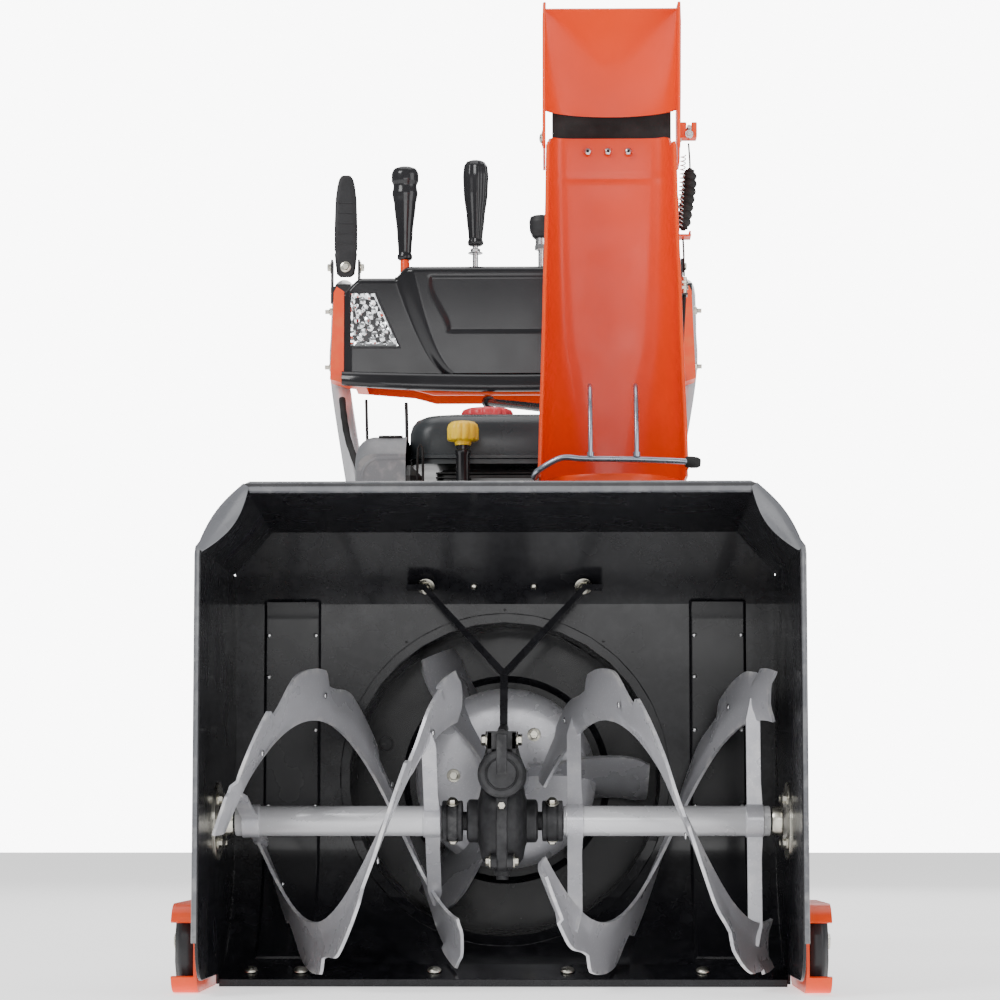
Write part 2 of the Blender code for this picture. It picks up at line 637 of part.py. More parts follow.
guard = box("t", -189, -128, 586, 742, 520, 654, 16, 2)
cut(guard, box("t", -184, -110, 592, 736, 500, 647))
piece("muffler_guard", tidy(guard), "grey")
muf = box("t", -180, -107, 600, 728, 516, 617, 14)
cut(muf, box("t", -130, -90, 640, 760, 500, 560), box("t", -131, -90, 650, 760, 590, 700))
piece("muffler", muf, "engine")
carb = box("t", 149, 196, 606, 744, 470, 612, 12, 2)
cut(carb, rod("t", P(188, 660, 520), P(204, 660, 520), 17, 20))
piece("carburetor_cover", carb, "black_plastic")

tb = rod("t", P(-56, 606, 566.4), P(-56, 606, 640), 8.5, 16)
cut(tb, rod("t", P(-56, 606, 560), P(-56, 606, 650), 5.5, 12))
piece("dipstick_tube", tb, "black_plastic")
dip = turned("t", [(0, -70), (2.5, -70), (2.5, 0.4), (11, 0.4), (20, 6), (20, 24), (14, 30.5),
                   (0, 30.5)], P(-56, 606, 640), (0, 0, 1), 16, closed=False)
piece("dipstick", dip, "yellow", P(-56, 606, 640))
PRIMER = P(196, 660, 520)
piece("primer_bulb", turned("t", [(0, 0.4), (15, 0.4), (15, 5), (10, 12), (0, 14)], PRIMER,
                            (1, 0, 0), 16, closed=False), "rubber", PRIMER)
CHOKE = P(196, 700, 575)
knob = turned("t", [(0, 0.4), (13, 0.4), (13, 9), (0, 9)], CHOKE, (1, 0, 0), 16, closed=False)
join(knob, box("t", 202, 214, 697, 703, 561, 589))
piece("choke_knob", tidy(knob), "black_plastic", CHOKE)
THROT = P(196, 630, 585)
lev = rod("t", P(196.4, 630, 585), P(201, 630, 585), 9, 16)
join(lev, box("t", 197, 200.5, 626, 634, 580, 616), box("t", 197, 210, 623, 637, 608, 622, 2))
piece("throttle_lever", tidy(lev), "black_plastic", THROT)

# ---------------------------------------------------------------- handlebars
for side, s in (("left", -1), ("right", 1)):
    route = smooth_path([(s * 164.6, 868, 306), (s * 166, 872, 345), (s * 172, 887, 400),
                         (s * 246, 1112, 800), (s * 249, 1146, 880), (s * 250, 1185, 935),
                         (s * 250, 1230, 958), (s * 250, 1272, 963.5), (s * 250, 1310, 963.9),
                         (s * 250, 1350, 963.9), (s * 250, GRIP_END - 4.4, 963.9)], 60)
    hb = tube("t", [tuple(p) for p in route], TUBE_R, 2)
    xb = -244 if s < 0 else 224
    j0, j1 = (xb - 6, xb + 6) if s < 0 else (xb - 8, xb + 18)
    join(hb, box("t", j0, j1, CLUTCH_D - 8, CLUTCH_D + 8, 928, 971))
    piece("handlebar_" + side, tidy(hb), "silver_paint")
    g0 = P(s * 250, 1322, 963.1)
    grip = turned("t", [(0, 114.8), (TUBE_R + 0.8, 114.8), (TUBE_R + 0.8, 0), (20, 0), (20, 4),
                        (17.5, 8), (17.5, 108), (20, 112), (20, 118), (0, 118)],
                  P(s * 250, 1322, 963.9),
                  (0, 1, 0), 20, closed=False)
    piece("grip_" + side, grip, "rubber")
    # hand lever: flat blade with a round top
    w = 18
    blade = front_plate("t", [(xb - w * 0.7, 972.5), (xb + w * 0.7, 972.5), (xb + w, 1000)]
                        + arc(xb, 1098, w, 0, 180, 8) + [(xb - w, 1000)],
                        CLUTCH_D - 3, CLUTCH_D + 3)
    piece("clutch_lever_" + side, blade, "black_plastic", P(xb, CLUTCH_D, CLUTCH_Z))

# ---------------------------------------------------------------- dash
left = [(-110, 772), (-140, 780), (-234, 788), (-256, 795), (-251, 918), (-214, 935),
        (-170, 938)]
rim_in = [(-236.5, 919), (-236.5, 799.6)]
trim = left[:-3] + [(-251, 918), (-247, 926)] + rim_in[:1]
trim = trim + rim_in[1:2]
shape = trim + [(-x, z) for x, z in reversed(trim)]
tray = front_plate("t", shape, 1046, 1132)
cut(tray, box("t", -310, -222, 1088, 1210, 690, 1010), box("t", 222, 310, 1088, 1210, 690, 1010))
cut(tray, box("t", -206, 206, 1052, 1126, 750, 830))
piece("dash_tray", tidy(tray), "orange_paint")

top = [(-236, 800), (-236, 916), (-212, 935), (-160, 937), (-148, 951), (148, 951), (160, 937),
       (212, 935), (236, 916), (236, 800)]
con = front_plate("t", top, 1047, 1130)
inn = [(-232, 780), (-232, 913), (-210, 931), (-158, 933), (-146, 947), (146, 947), (158, 933),
       (210, 931), (232, 913), (232, 780)]
cut(con, front_plate("t", inn, 1052, 1126))
cut(con, box("t", -300, -222, 1088, 1200, 700, 1000), box("t", 222, 300, 1088, 1200, 700, 1000))
lamp = [(-228, 839), (-158, 839), (-192, 917), (-228, 917)]


def grow(pts, g):
    cx = sum(p[0] for p in pts) / len(pts)
    cy = sum(p[1] for p in pts) / len(pts)
    return [(x + g * (1 if x > cx else -1), y + g * (1 if y > cy else -1)) for x, y in pts]


for s in (-1, 1):
    cut(con, front_plate("t", [(x * -s, z) for x, z in grow(lamp, 0.8)], 1040, 1060))
slots = ((-153, 8, 28), (-53, 32, 9), (40, 8, 28))
for x, hx, hd in slots:
    cut(con, box("t", x - hx, x + hx, LEVER_D - hd + 2, LEVER_D + hd + 2, 930, 970))
KEY = P(105, 1126, 900)
cut(con, rod("t", P(105, 1110, 900), P(105, 1140, 900), 10.4, 12))
# cross tube that carries the pivots of the dash levers, inside the console
join(con, rod("t", P(-233, LEVER_D, LEVER_Z), P(233, LEVER_D, LEVER_Z), 5, 12))
piece("dash_console", tidy(con), "gloss_plastic")
for side, s in (("left", -1), ("right", 1)):
    lens = front_plate("t", [(x * -s, z) for x, z in lamp], 1044, 1059)
    piece("headlight_" + side, lens, "lens")

def dash_lever(x, z0, z1, w0, w1, rod_r=4.5, bore=6.2):
    lv = rod("t", P(x, LEVER_D, LEVER_Z), P(x, LEVER_D, z0 + 8), rod_r, 12)
    join(lv, rod("t", P(x - 9, LEVER_D, LEVER_Z), P(x + 9, LEVER_D, LEVER_Z), 12, 16))
    rings = []
    for t, k in ((0, 0.7), (0.06, 1.0), (0.45, 1.12), (0.8, 1.0), (0.94, 0.85), (1.0, 0.45)):
        z = z0 + (z1 - z0) * t
        w = (w0 + (w1 - w0) * t) * k / 2
        rings.append([(x + w * math.cos(2 * math.pi * i / 16),
                       LEVER_D + w * 0.72 * math.sin(2 * math.pi * i / 16), z) for i in range(16)])
    join(lv, loft("t", rings))
    cut(lv, rod("t", P(x - 20, LEVER_D, LEVER_Z), P(x + 20, LEVER_D, LEVER_Z), bore, 12))
    return tidy(lv)


piece("shift_lever", dash_lever(-153, 972, 1104, 21, 38), "gloss_plastic",
      P(-153, LEVER_D, LEVER_Z))
piece("chute_lever", dash_lever(-53, 990, 1113, 24, 36, bore=8.3), "gloss_plastic", P(-53, LEVER_D, LEVER_Z))
piece("deflector_lever", dash_lever(40, 982, 1033, 24, 32), "gloss_plastic",
      P(40, LEVER_D, LEVER_Z))
key = turned("t", [(0, -14), (8.5, -14), (8.5, 6), (15, 6), (15, 14), (0, 14)], KEY, (0, 1, 0), 16,
             closed=False)
piece("stop_key", key, "pink_red", KEY)

# ---------------------------------------------------------------- cables clipped to the machine
harness = smooth_path([(-240, 1066, 770), (-236, 1050, 742), (-214, 1020, 690), (-196, 984, 640),
                       (-172, 925, 560), (-146, 890, 470), (-120, 870, 412)], 26)
piece("wiring_harness", tube("t", [tuple(p) for p in harness], 5, 2), "rubber")
cable = smooth_path([(-150, 1070, 764), (-152, 1050, 720), (-156, 1010, 650), (-150, 960, 560),
                     (-130, 935, 460), (-100, 925, 380), (-95, 905, 330)], 26)
piece("control_cable", tube("t", [tuple(p) for p in cable], 3, 2), "rubber")

# ---------------------------------------------------------------- discharge chute
CHUTE_AXIS = P(CHUTE_X, CHUTE_D, 520)


def chute_ring(z, w, db, df, sq, off):
    """Closed section: half circle at the back, squarer towards the open front."""
    ring = []
    n = 20
    mid = min(db - w, CHUTE_D)
    for i in range(n):
        a = 2 * math.pi * (i + 0.5) / n
        sx, cx = math.sin(a), math.cos(a)
        if cx <= 0:
            x = (w + off) * sx
            y = mid - (db - mid + off) * cx
        else:
            e = 2.0 / sq
            x = (w + off) * math.copysign(abs(sx) ** e, sx)
            y = mid - (mid - df + off) * abs(cx) ** e
        ring.append((CHUTE_X + x, y, z))
    return ring


def chute_form(off, z_lo, z_hi):
    rows = [(z_lo, 82, 486, 322, 2.0), (560, 82, 486, 322, 2.0), (620, 80, 485, 326, 4.5),
            (760, 77, 482, 345, 8.0), (900, 74, 478, 366, 10.0), (z_hi, 72, 474.5, 380, 10.0)]
    return loft("t", [chute_ring(z, w, db, df, sq, off) for z, w, db, df, sq in rows])


ch = chute_form(0, 481, CHUTE_TOP)
join(ch, rod("t", P(CHUTE_X, CHUTE_D, CHUTE_Z0), P(CHUTE_X, CHUTE_D, 484), 86, 36))
cut(ch, chute_form(-3, 470, CHUTE_TOP + 12))
cut(ch, box("t", CHUTE_X - 68.5, CHUTE_X + 68.5, 280, 396, 570, 1020))
cut(ch, rod("t", P(CHUTE_X, CHUTE_D, 440), P(CHUTE_X, CHUTE_D, 500), 60, 28))
cut(ch, box("t", -20, 300, 300, 412, 962, 1000))
piece("chute", tidy(ch), "orange_paint", CHUTE_AXIS)

guardw = tube("t", [(34, 356, 569), (34, 332, 569), (40, 313, 573), (64, 306, 585), (90, 305, 584),
                    (150, 305, 583), (196, 306, 581), (212, 314, 581), (212, 352, 581)], 3.5, 2)
for x in (97, 149):
    join(guardw, tube("t", [(x, 305, 583), (x, 310, 640), (x, 330, 668), (x, 350, 672)], 2.6, 2))
piece("chute_guard", tidy(guardw), "steel", CHUTE_AXIS)

flap = box("t", 54, 196, 482.4, 485.2, 972, 1034, 0.6)
piece("deflector_flap", flap, "rubber", CHUTE_AXIS)
boot = turned("t", [(0, 0)] + [(r, 6 + i * 4.6) for i, r in
                               enumerate((4, 9, 6, 9, 6, 9, 6, 9, 6, 9, 6, 9, 6, 9, 6, 4))]
              + [(0, 84)], P(218, 452, 862), (0, 0, 1), 12, closed=False)
piece("deflector_cable_boot", boot, "rubber", CHUTE_AXIS)

# deflector hood on top of the chute: an open channel whose back leans forward
def hood_ring(z, off, ahead=0.0):
    t = (z - 945) / (DEFL_TOP - 945)
    w = 80.5 - 3.0 * max(0.0, t - 0.75)
    db = 481.6 - 76 * max(0.0, t - 0.32) ** 1.6 / 0.68 ** 1.6
    df = 395 - 26 * t - ahead
    rc = 26 - 12 * max(0.0, t - 0.4)
    dip = 0.22 * max(0.0, t - 0.5)
    ring = []
    for x, y in ((-w - off, df - off), (w + off, df - off), (w + off, db - rc)):
        ring.append((DEFL_X + x, y, z - dip * (db - y)))
    for i in range(1, 6):
        a = math.radians(90 * i / 6)
        y = db - rc + (rc + off) * math.sin(a)
        ring.append((DEFL_X + w + off - rc * (1 - math.cos(a)), y, z - dip * (db - y)))
    for i in range(5, 0, -1):
        a = math.radians(90 * i / 6)
        y = db - rc + (rc + off) * math.sin(a)
        ring.append((DEFL_X - w - off + rc * (1 - math.cos(a)), y, z - dip * (db - y)))
    ring.append((DEFL_X - w - off, db - rc, z - dip * rc))
    return ring


levels = (945, 1005, 1035, 1060, 1085, 1110, DEFL_TOP)
hood = loft("t", [hood_ring(z, 0) for z in levels])
cut(hood, loft("t", [hood_ring(z, -3, 40) for z in (930, 1005, 1035, 1060, 1085, 1110, DEFL_TOP, DEFL_TOP + 8)]))
cut(hood, box("t", DEFL_X - 77.5, DEFL_X + 77.5, 440, 520, 900, 1023))
cut(hood, box("t", DEFL_X - 90, DEFL_X + 90, 455.4, 520, 900, 1004))
cut(hood, rod("t", P(0, 380, 900), P(300, 380, 900), 60, 24))
for s in (-1, 1):
    join(hood, rod("t", P(DEFL_X + s * 78, DEFL_PD - 22, DEFL_PZ + 26),
                   P(DEFL_X + s * 86, DEFL_PD - 22, DEFL_PZ + 26), 8, 16))
piece("deflector", tidy(hood), "orange_paint", P(DEFL_X, DEFL_PD, DEFL_PZ))

# steering rod of the chute, from the dash down to the chute base
ROD_A, ROD_B = P(-36, 1062, 764.5), P(85, 549.5, 674)
steer = rod("t", ROD_A, ROD_B, 6, 12)
piece("chute_rod", steer, "black_paint", (ROD_A + ROD_B) / 2)
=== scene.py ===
import json
import math

import bmesh
import bpy
from mathutils import Matrix, Vector, noise


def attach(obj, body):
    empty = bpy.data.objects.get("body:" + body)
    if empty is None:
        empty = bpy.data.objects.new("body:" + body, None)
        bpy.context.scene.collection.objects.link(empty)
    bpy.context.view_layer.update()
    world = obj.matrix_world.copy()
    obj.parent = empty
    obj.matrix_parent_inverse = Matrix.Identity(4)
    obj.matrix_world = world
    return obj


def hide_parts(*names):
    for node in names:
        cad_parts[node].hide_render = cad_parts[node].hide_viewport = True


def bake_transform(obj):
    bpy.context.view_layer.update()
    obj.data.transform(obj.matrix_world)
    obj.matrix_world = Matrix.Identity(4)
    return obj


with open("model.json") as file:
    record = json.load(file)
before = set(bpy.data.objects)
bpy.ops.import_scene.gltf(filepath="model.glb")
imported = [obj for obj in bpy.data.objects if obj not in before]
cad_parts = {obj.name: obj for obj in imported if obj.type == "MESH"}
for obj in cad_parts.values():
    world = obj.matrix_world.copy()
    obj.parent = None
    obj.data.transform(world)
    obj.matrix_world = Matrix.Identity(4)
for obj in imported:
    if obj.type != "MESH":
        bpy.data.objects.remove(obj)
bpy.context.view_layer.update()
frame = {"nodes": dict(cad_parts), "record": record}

MM = 0.001
FRONT = 720.0
NODES = frame["nodes"]


def P(x, d, z):
    return Vector((x * MM, (d - FRONT) * MM, z * MM))


# ------------------------------------------------------------------ camera, light, floor
cam_data = bpy.data.cameras.new("camera")
cam_data.lens = 100.27
cam_data.sensor_width = 36.0
cam_data.shift_y = 0.1
cam_data.clip_end = 60
cam = bpy.data.objects.new("camera", cam_data)
bpy.context.scene.collection.objects.link(cam)
cam.location = (0.0479, -3.5318, 0.173)
cam.rotation_euler = (math.radians(90 + 4.612), 0.0, math.radians(0.973))
bpy.context.scene.camera = cam


def area(name, loc, target, size, power, color=(1, 1, 1), size_y=None):
    la = bpy.data.lights.new(name, "AREA")
    la.energy = power
    la.color = color
    la.size = size
    if size_y:
        la.shape = "RECTANGLE"
        la.size_y = size_y
    ob = bpy.data.objects.new(name, la)
    bpy.context.scene.collection.objects.link(ob)
    ob.location = loc
    ob.rotation_euler = (Vector(target) - Vector(loc)).to_track_quat("-Z", "Y").to_euler()
    return ob


area("key", (-2.6, -3.2, 3.4), (0, -0.2, 0.5), 1.8, 118)
area("fill", (3.2, -2.6, 1.6), (0, -0.2, 0.5), 2.2, 50)
area("top", (0.0, 0.2, 3.6), (0, 0, 0.4), 2.6, 60)
area("front_low", (0.3, -4.6, 1.2), (0, 0, 0.45), 2.4, 36, size_y=1.2)
area("back", (0.6, 3.4, 2.4), (0, 0.3, 0.7), 2.4, 45)

world = bpy.data.worlds.new("studio")
bpy.context.scene.world = world
world.use_nodes = True
wt = world.node_tree
bg = wt.nodes["Background"]
bg.inputs["Color"].default_value = (1.0, 1.0, 1.0, 1.0)
bg.inputs["Strength"].default_value = 0.33
bg2 = wt.nodes.new("ShaderNodeBackground")
bg2.inputs["Color"].default_value = (1.0, 1.0, 1.0, 1.0)
bg2.inputs["Strength"].default_value = 9.0
lp = wt.nodes.new("ShaderNodeLightPath")
mxw = wt.nodes.new("ShaderNodeMixShader")
wt.links.new(lp.outputs["Is Camera Ray"], mxw.inputs[0])
wt.links.new(bg.outputs[0], mxw.inputs[1])
wt.links.new(bg2.outputs[0], mxw.inputs[2])
wt.links.new(mxw.outputs[0], wt.nodes["World Output"].inputs["Surface"])


# ------------------------------------------------------------------ materials
def node(nt, kind, **props):
    n = nt.nodes.new(kind)
    for k, v in props.items():
        setattr(n, k, v)
    return n


def material(name, color, rough=0.4, metal=0.0, var=0.12, var_scale=6.0, rough_var=0.08,
             rough_scale=18.0, bump=0.05, bump_scale=220.0, coat=0.0, speck=0.0, speck_color=None,
             rub_and_highlight=0.0, rub_and_highlight_color=(0.5, 0.5, 0.5), stretch=None, detail=4.0, dirt=0.0, alpha=None,
             transmission=0.0, ior=None, low=None):
    """Paint, metal, rubber or plastic with tone drift, uneven gloss, fine bump, specks, and convex edges lightened as
    painted edge highlight and rubbed paint.
    """
    m = bpy.data.materials.new(name)
    m.use_nodes = True
    nt = m.node_tree
    bsdf = nt.nodes["Principled BSDF"]
    bsdf.inputs["Metallic"].default_value = metal
    if coat:
        bsdf.inputs["Coat Weight"].default_value = coat
        bsdf.inputs["Coat Roughness"].default_value = 0.08
    if ior:
        bsdf.inputs["IOR"].default_value = ior
    if transmission:
        bsdf.inputs["Transmission Weight"].default_value = transmission
    tc = node(nt, "ShaderNodeTexCoord")
    vec = tc.outputs["Object"]
    if stretch:
        mp = node(nt, "ShaderNodeMapping")
        mp.inputs["Scale"].default_value = stretch
        nt.links.new(vec, mp.inputs["Vector"])
        vec = mp.outputs["Vector"]
    # tone drift
    n1 = node(nt, "ShaderNodeTexNoise")
    n1.inputs["Scale"].default_value = var_scale
    n1.inputs["Detail"].default_value = detail
    nt.links.new(vec, n1.inputs["Vector"])
    ramp = node(nt, "ShaderNodeValToRGB")
    lo = [c * (1 - var) for c in color]
    hi = [min(1.0, c * (1 + var) + 0.004 * var * 10) for c in color]
    ramp.color_ramp.elements[0].position = 0.32
    ramp.color_ramp.elements[1].position = 0.68
    ramp.color_ramp.elements[0].color = (*lo, 1)
    ramp.color_ramp.elements[1].color = (*hi, 1)
    nt.links.new(n1.outputs["Fac"], ramp.inputs["Fac"])
    col = ramp.outputs["Color"]
    if speck:
        v = node(nt, "ShaderNodeTexNoise")
        v.inputs["Scale"].default_value = 480.0
        v.inputs["Detail"].default_value = 2.0
        nt.links.new(tc.outputs["Object"], v.inputs["Vector"])
        r = node(nt, "ShaderNodeValToRGB")
        r.color_ramp.elements[0].position = 0.60
        r.color_ramp.elements[1].position = 0.74
        r.color_ramp.elements[1].color = (speck, speck, speck, 1)
        nt.links.new(v.outputs["Fac"], r.inputs["Fac"])
        mx = node(nt, "ShaderNodeMix", data_type="RGBA")
        sc = speck_color or tuple(min(1, c * 1.8 + 0.02) for c in color)
        mx.inputs["B"].default_value = (*sc, 1)
        nt.links.new(r.outputs["Color"], mx.inputs["Factor"])
        nt.links.new(col, mx.inputs["A"])
        col = mx.outputs["Result"]
    # convex edges (pointiness) lightened where the noise lets through: painted edge highlight and rubbed paint
    if rub_and_highlight:
        g = node(nt, "ShaderNodeNewGeometry")
        wr = node(nt, "ShaderNodeValToRGB")
        wr.color_ramp.elements[0].position = 0.515
        wr.color_ramp.elements[1].position = 0.60
        nt.links.new(g.outputs["Pointiness"], wr.inputs["Fac"])
        wn = node(nt, "ShaderNodeTexNoise")
        wn.inputs["Scale"].default_value = 70.0
        wn.inputs["Detail"].default_value = 5.0
        nt.links.new(tc.outputs["Object"], wn.inputs["Vector"])
        wt = node(nt, "ShaderNodeValToRGB")
        wt.color_ramp.elements[0].position = 0.46
        wt.color_ramp.elements[1].position = 0.62
        wt.color_ramp.elements[1].color = (rub_and_highlight, rub_and_highlight, rub_and_highlight, 1)
        nt.links.new(wn.outputs["Fac"], wt.inputs["Fac"])
        mul = node(nt, "ShaderNodeMath", operation="MULTIPLY")
        nt.links.new(wr.outputs["Color"], mul.inputs[0])
        nt.links.new(wt.outputs["Color"], mul.inputs[1])
        mx = node(nt, "ShaderNodeMix", data_type="RGBA")
        mx.inputs["B"].default_value = (*rub_and_highlight_color, 1)
        nt.links.new(mul.outputs[0], mx.inputs["Factor"])
        nt.links.new(col, mx.inputs["A"])
        col = mx.outputs["Result"]
    if dirt:
        dn = node(nt, "ShaderNodeTexNoise")
        dn.inputs["Scale"].default_value = 11.0
        dn.inputs["Detail"].default_value = 8.0
        dn.inputs["Roughness"].default_value = 0.7
        nt.links.new(tc.outputs["Object"], dn.inputs["Vector"])
        dr = node(nt, "ShaderNodeValToRGB")
        dr.color_ramp.elements[0].position = 0.52
        dr.color_ramp.elements[1].position = 0.75
        dr.color_ramp.elements[1].color = (dirt, dirt, dirt, 1)
        nt.links.new(dn.outputs["Fac"], dr.inputs["Fac"])
        mx = node(nt, "ShaderNodeMix", data_type="RGBA")
        mx.inputs["B"].default_value = (0.12, 0.11, 0.1, 1)
        nt.links.new(dr.outputs["Color"], mx.inputs["Factor"])
        nt.links.new(col, mx.inputs["A"])
        col = mx.outputs["Result"]
    nt.links.new(col, bsdf.inputs["Base Color"])
    # uneven gloss
    n2 = node(nt, "ShaderNodeTexNoise")
    n2.inputs["Scale"].default_value = rough_scale
    n2.inputs["Detail"].default_value = 5.0
    nt.links.new(vec, n2.inputs["Vector"])
    mr = node(nt, "ShaderNodeMapRange")
    mr.inputs["From Min"].default_value = 0.3
    mr.inputs["From Max"].default_value = 0.7
    mr.inputs["To Min"].default_value = max(0.02, rough - rough_var)
    mr.inputs["To Max"].default_value = min(1.0, rough + rough_var)
    nt.links.new(n2.outputs["Fac"], mr.inputs["Value"])
    nt.links.new(mr.outputs["Result"], bsdf.inputs["Roughness"])
    # fine surface
    if bump:
        n3 = node(nt, "ShaderNodeTexNoise")
        n3.inputs["Scale"].default_value = bump_scale
        n3.inputs["Detail"].default_value = 3.0
        nt.links.new(vec, n3.inputs["Vector"])
        bp = node(nt, "ShaderNodeBump")
        bp.inputs["Strength"].default_value = bump
        bp.inputs["Distance"].default_value = 0.0006
        nt.links.new(n3.outputs["Fac"], bp.inputs["Height"])
        nt.links.new(bp.outputs["Normal"], bsdf.inputs["Normal"])
    return m


# the edge colours given below lighten convex edges: painted edge highlight and rubbed paint
M = {
    "black_paint": material("enamel_black", (0.0062, 0.0062, 0.0082), 0.24, 0.0, var=0.12,
                            var_scale=3.0, bump=0.04, bump_scale=160, coat=0.12, rub_and_highlight=0.35,
                            rub_and_highlight_color=(0.03, 0.03, 0.034)),
    # light grey copy of the black enamel for the lips, where they catch the light: painted sheen
    "lip_painted_sheen": material("enamel_black_painted_sheen", (0.105, 0.108, 0.118), 0.28, 0.0, var=0.15, bump=0.05,
                          bump_scale=170, coat=0.3, rub_and_highlight=0.5, rub_and_highlight_color=(0.3, 0.3, 0.3)),
    "orange_paint": material("enamel_orange", (0.86, 0.058, 0.0), 0.36, 0.0, var=0.05,
                             var_scale=5.0, bump=0.05, bump_scale=150, coat=0.12, rub_and_highlight=0.25,
                             rub_and_highlight_color=(0.75, 0.2, 0.05), dirt=0.04),
    # darker, redder copy of the orange enamel for hollow insides: painted shade
    "orange_inside": material("enamel_orange_painted_shade", (0.72, 0.028, 0.004), 0.3, 0.0, var=0.1,
                              bump=0.05, bump_scale=150, coat=0.3),
    "silver_paint": material("paint_silver", (0.47, 0.47, 0.50), 0.3, 0.35, var=0.1, speck=0.35,
                             speck_color=(0.8, 0.8, 0.82), bump=0.06, bump_scale=260, rub_and_highlight=0.5,
                             rub_and_highlight_color=(0.82, 0.8, 0.78), dirt=0.05),
    "tube_paint": material("paint_tube", (0.62, 0.62, 0.64), 0.3, 0.3, var=0.08, speck=0.3,
                           speck_color=(0.8, 0.8, 0.82), bump=0.04, bump_scale=240, coat=0.2),
    "zinc": material("plated_zinc", (0.62, 0.60, 0.52), 0.28, 1.0, var=0.14, var_scale=40,
                     rough_scale=60, bump=0.05, bump_scale=300, dirt=0.12),
    "steel": material("bright_steel", (0.62, 0.62, 0.63), 0.26, 1.0, var=0.1, var_scale=30,
                      stretch=(1, 1, 14), bump=0.05, bump_scale=300),
    "cast": material("casting_black", (0.018, 0.018, 0.02), 0.46, 0.1, var=0.3, var_scale=60,
                     rough_scale=80, bump=0.35, bump_scale=420, rub_and_highlight=0.5,
                     rub_and_highlight_color=(0.12, 0.12, 0.12)),
    "black_plastic": material("plastic_black", (0.020, 0.020, 0.022), 0.42, 0.0, var=0.15,
                              bump=0.22, bump_scale=900, speck=0.2,
                              speck_color=(0.05, 0.05, 0.052)),
    "gloss_plastic": material("plastic_gloss", (0.013, 0.013, 0.015), 0.16, 0.0, var=0.15,
                              bump=0.05, bump_scale=500, coat=0.2, rough_var=0.05),
    "rubber": material("rubber_black", (0.016, 0.016, 0.016), 0.7, 0.0, var=0.25, var_scale=30,
                       bump=0.25, bump_scale=500, speck=0.15, speck_color=(0.05, 0.05, 0.05)),
    "tyre": material("tyre_rubber", (0.017, 0.017, 0.018), 0.75, 0.0, var=0.3, var_scale=25,
                     bump=0.3, bump_scale=350, dirt=0.25),
    "tank": material("plastic_tank", (0.028, 0.033, 0.037), 0.33, 0.0, var=0.12, bump=0.16,
                     bump_scale=650, speck=0.15, speck_color=(0.07, 0.08, 0.085)),
    "grey": material("paint_heat_grey", (0.17, 0.175, 0.185), 0.5, 0.2, var=0.15, bump=0.2,
                     bump_scale=420, speck=0.3, speck_color=(0.3, 0.3, 0.31), rub_and_highlight=0.5,
                     rub_and_highlight_color=(0.35, 0.34, 0.33)),
    "yellow": material("plastic_yellow", (0.92, 0.60, 0.015), 0.34, 0.0, var=0.07, bump=0.08,
                       bump_scale=500),
    "pink_red": material("plastic_red", (0.72, 0.045, 0.06), 0.36, 0.0, var=0.1, bump=0.1,
                         bump_scale=500),
    "bronze": material("metal_bronze", (0.55, 0.34, 0.14), 0.3, 1.0, var=0.15, var_scale=40),
    "engine": material("engine_black", (0.016, 0.016, 0.017), 0.42, 0.1, var=0.1, var_scale=30,
                       bump=0.3, bump_scale=380, rub_and_highlight=0.2, rub_and_highlight_color=(0.06, 0.06, 0.06)),
    "guard": material("wire_bluish", (0.34, 0.38, 0.45), 0.3, 0.85, var=0.15, var_scale=40,
                      rough_scale=60, bump=0.05, bump_scale=300, dirt=0.1),
    "reflector": material("lamp_reflector", (0.86, 0.88, 0.90), 0.12, 1.0, var=0.1, var_scale=90,
                          bump=0.25, bump_scale=160, rough_var=0.05),
}


def lens_material():
    m = bpy.data.materials.new("lamp_lens")
    m.use_nodes = True
    nt = m.node_tree
    b = nt.nodes["Principled BSDF"]
    b.inputs["Base Color"].default_value = (0.93, 0.96, 0.98, 1)
    b.inputs["IOR"].default_value = 1.45
    b.inputs["Transmission Weight"].default_value = 0.85
    tc = node(nt, "ShaderNodeTexCoord")
    w = node(nt, "ShaderNodeTexWave")
    w.inputs["Scale"].default_value = 26.0
    w.inputs["Distortion"].default_value = 0.6
    nt.links.new(tc.outputs["Object"], w.inputs["Vector"])
    n = node(nt, "ShaderNodeTexNoise")
    n.inputs["Scale"].default_value = 60
    nt.links.new(tc.outputs["Object"], n.inputs["Vector"])
    mr = node(nt, "ShaderNodeMapRange")
    mr.inputs["To Min"].default_value = 0.03
    mr.inputs["To Max"].default_value = 0.12
    nt.links.new(n.outputs["Fac"], mr.inputs["Value"])
    nt.links.new(mr.outputs["Result"], b.inputs["Roughness"])
    bp = node(nt, "ShaderNodeBump")
    bp.inputs["Strength"].default_value = 0.5
    bp.inputs["Distance"].default_value = 0.001
    nt.links.new(w.outputs["Fac"], bp.inputs["Height"])
    nt.links.new(bp.outputs["Normal"], b.inputs["Normal"])
    return m


M["lens"] = lens_material()
for k, v in (("black_paint", 0.3), ("gloss_plastic", 0.28), ("black_plastic", 0.3), ("cast", 0.3), ("rubber", 0.25),
             ("tyre", 0.25), ("tank", 0.35), ("orange_paint", 0.35)):
    M[k].node_tree.nodes["Principled BSDF"].inputs["Specular IOR Level"].default_value = v

# every CAD node that stays gets the finish of its slot
for sp in frame["record"]["subparts"]:
    ob = NODES[sp["node"]]
    ob.data.materials.clear()
    ob.data.materials.append(M.get(sp["material_slot"], M["black_paint"]))

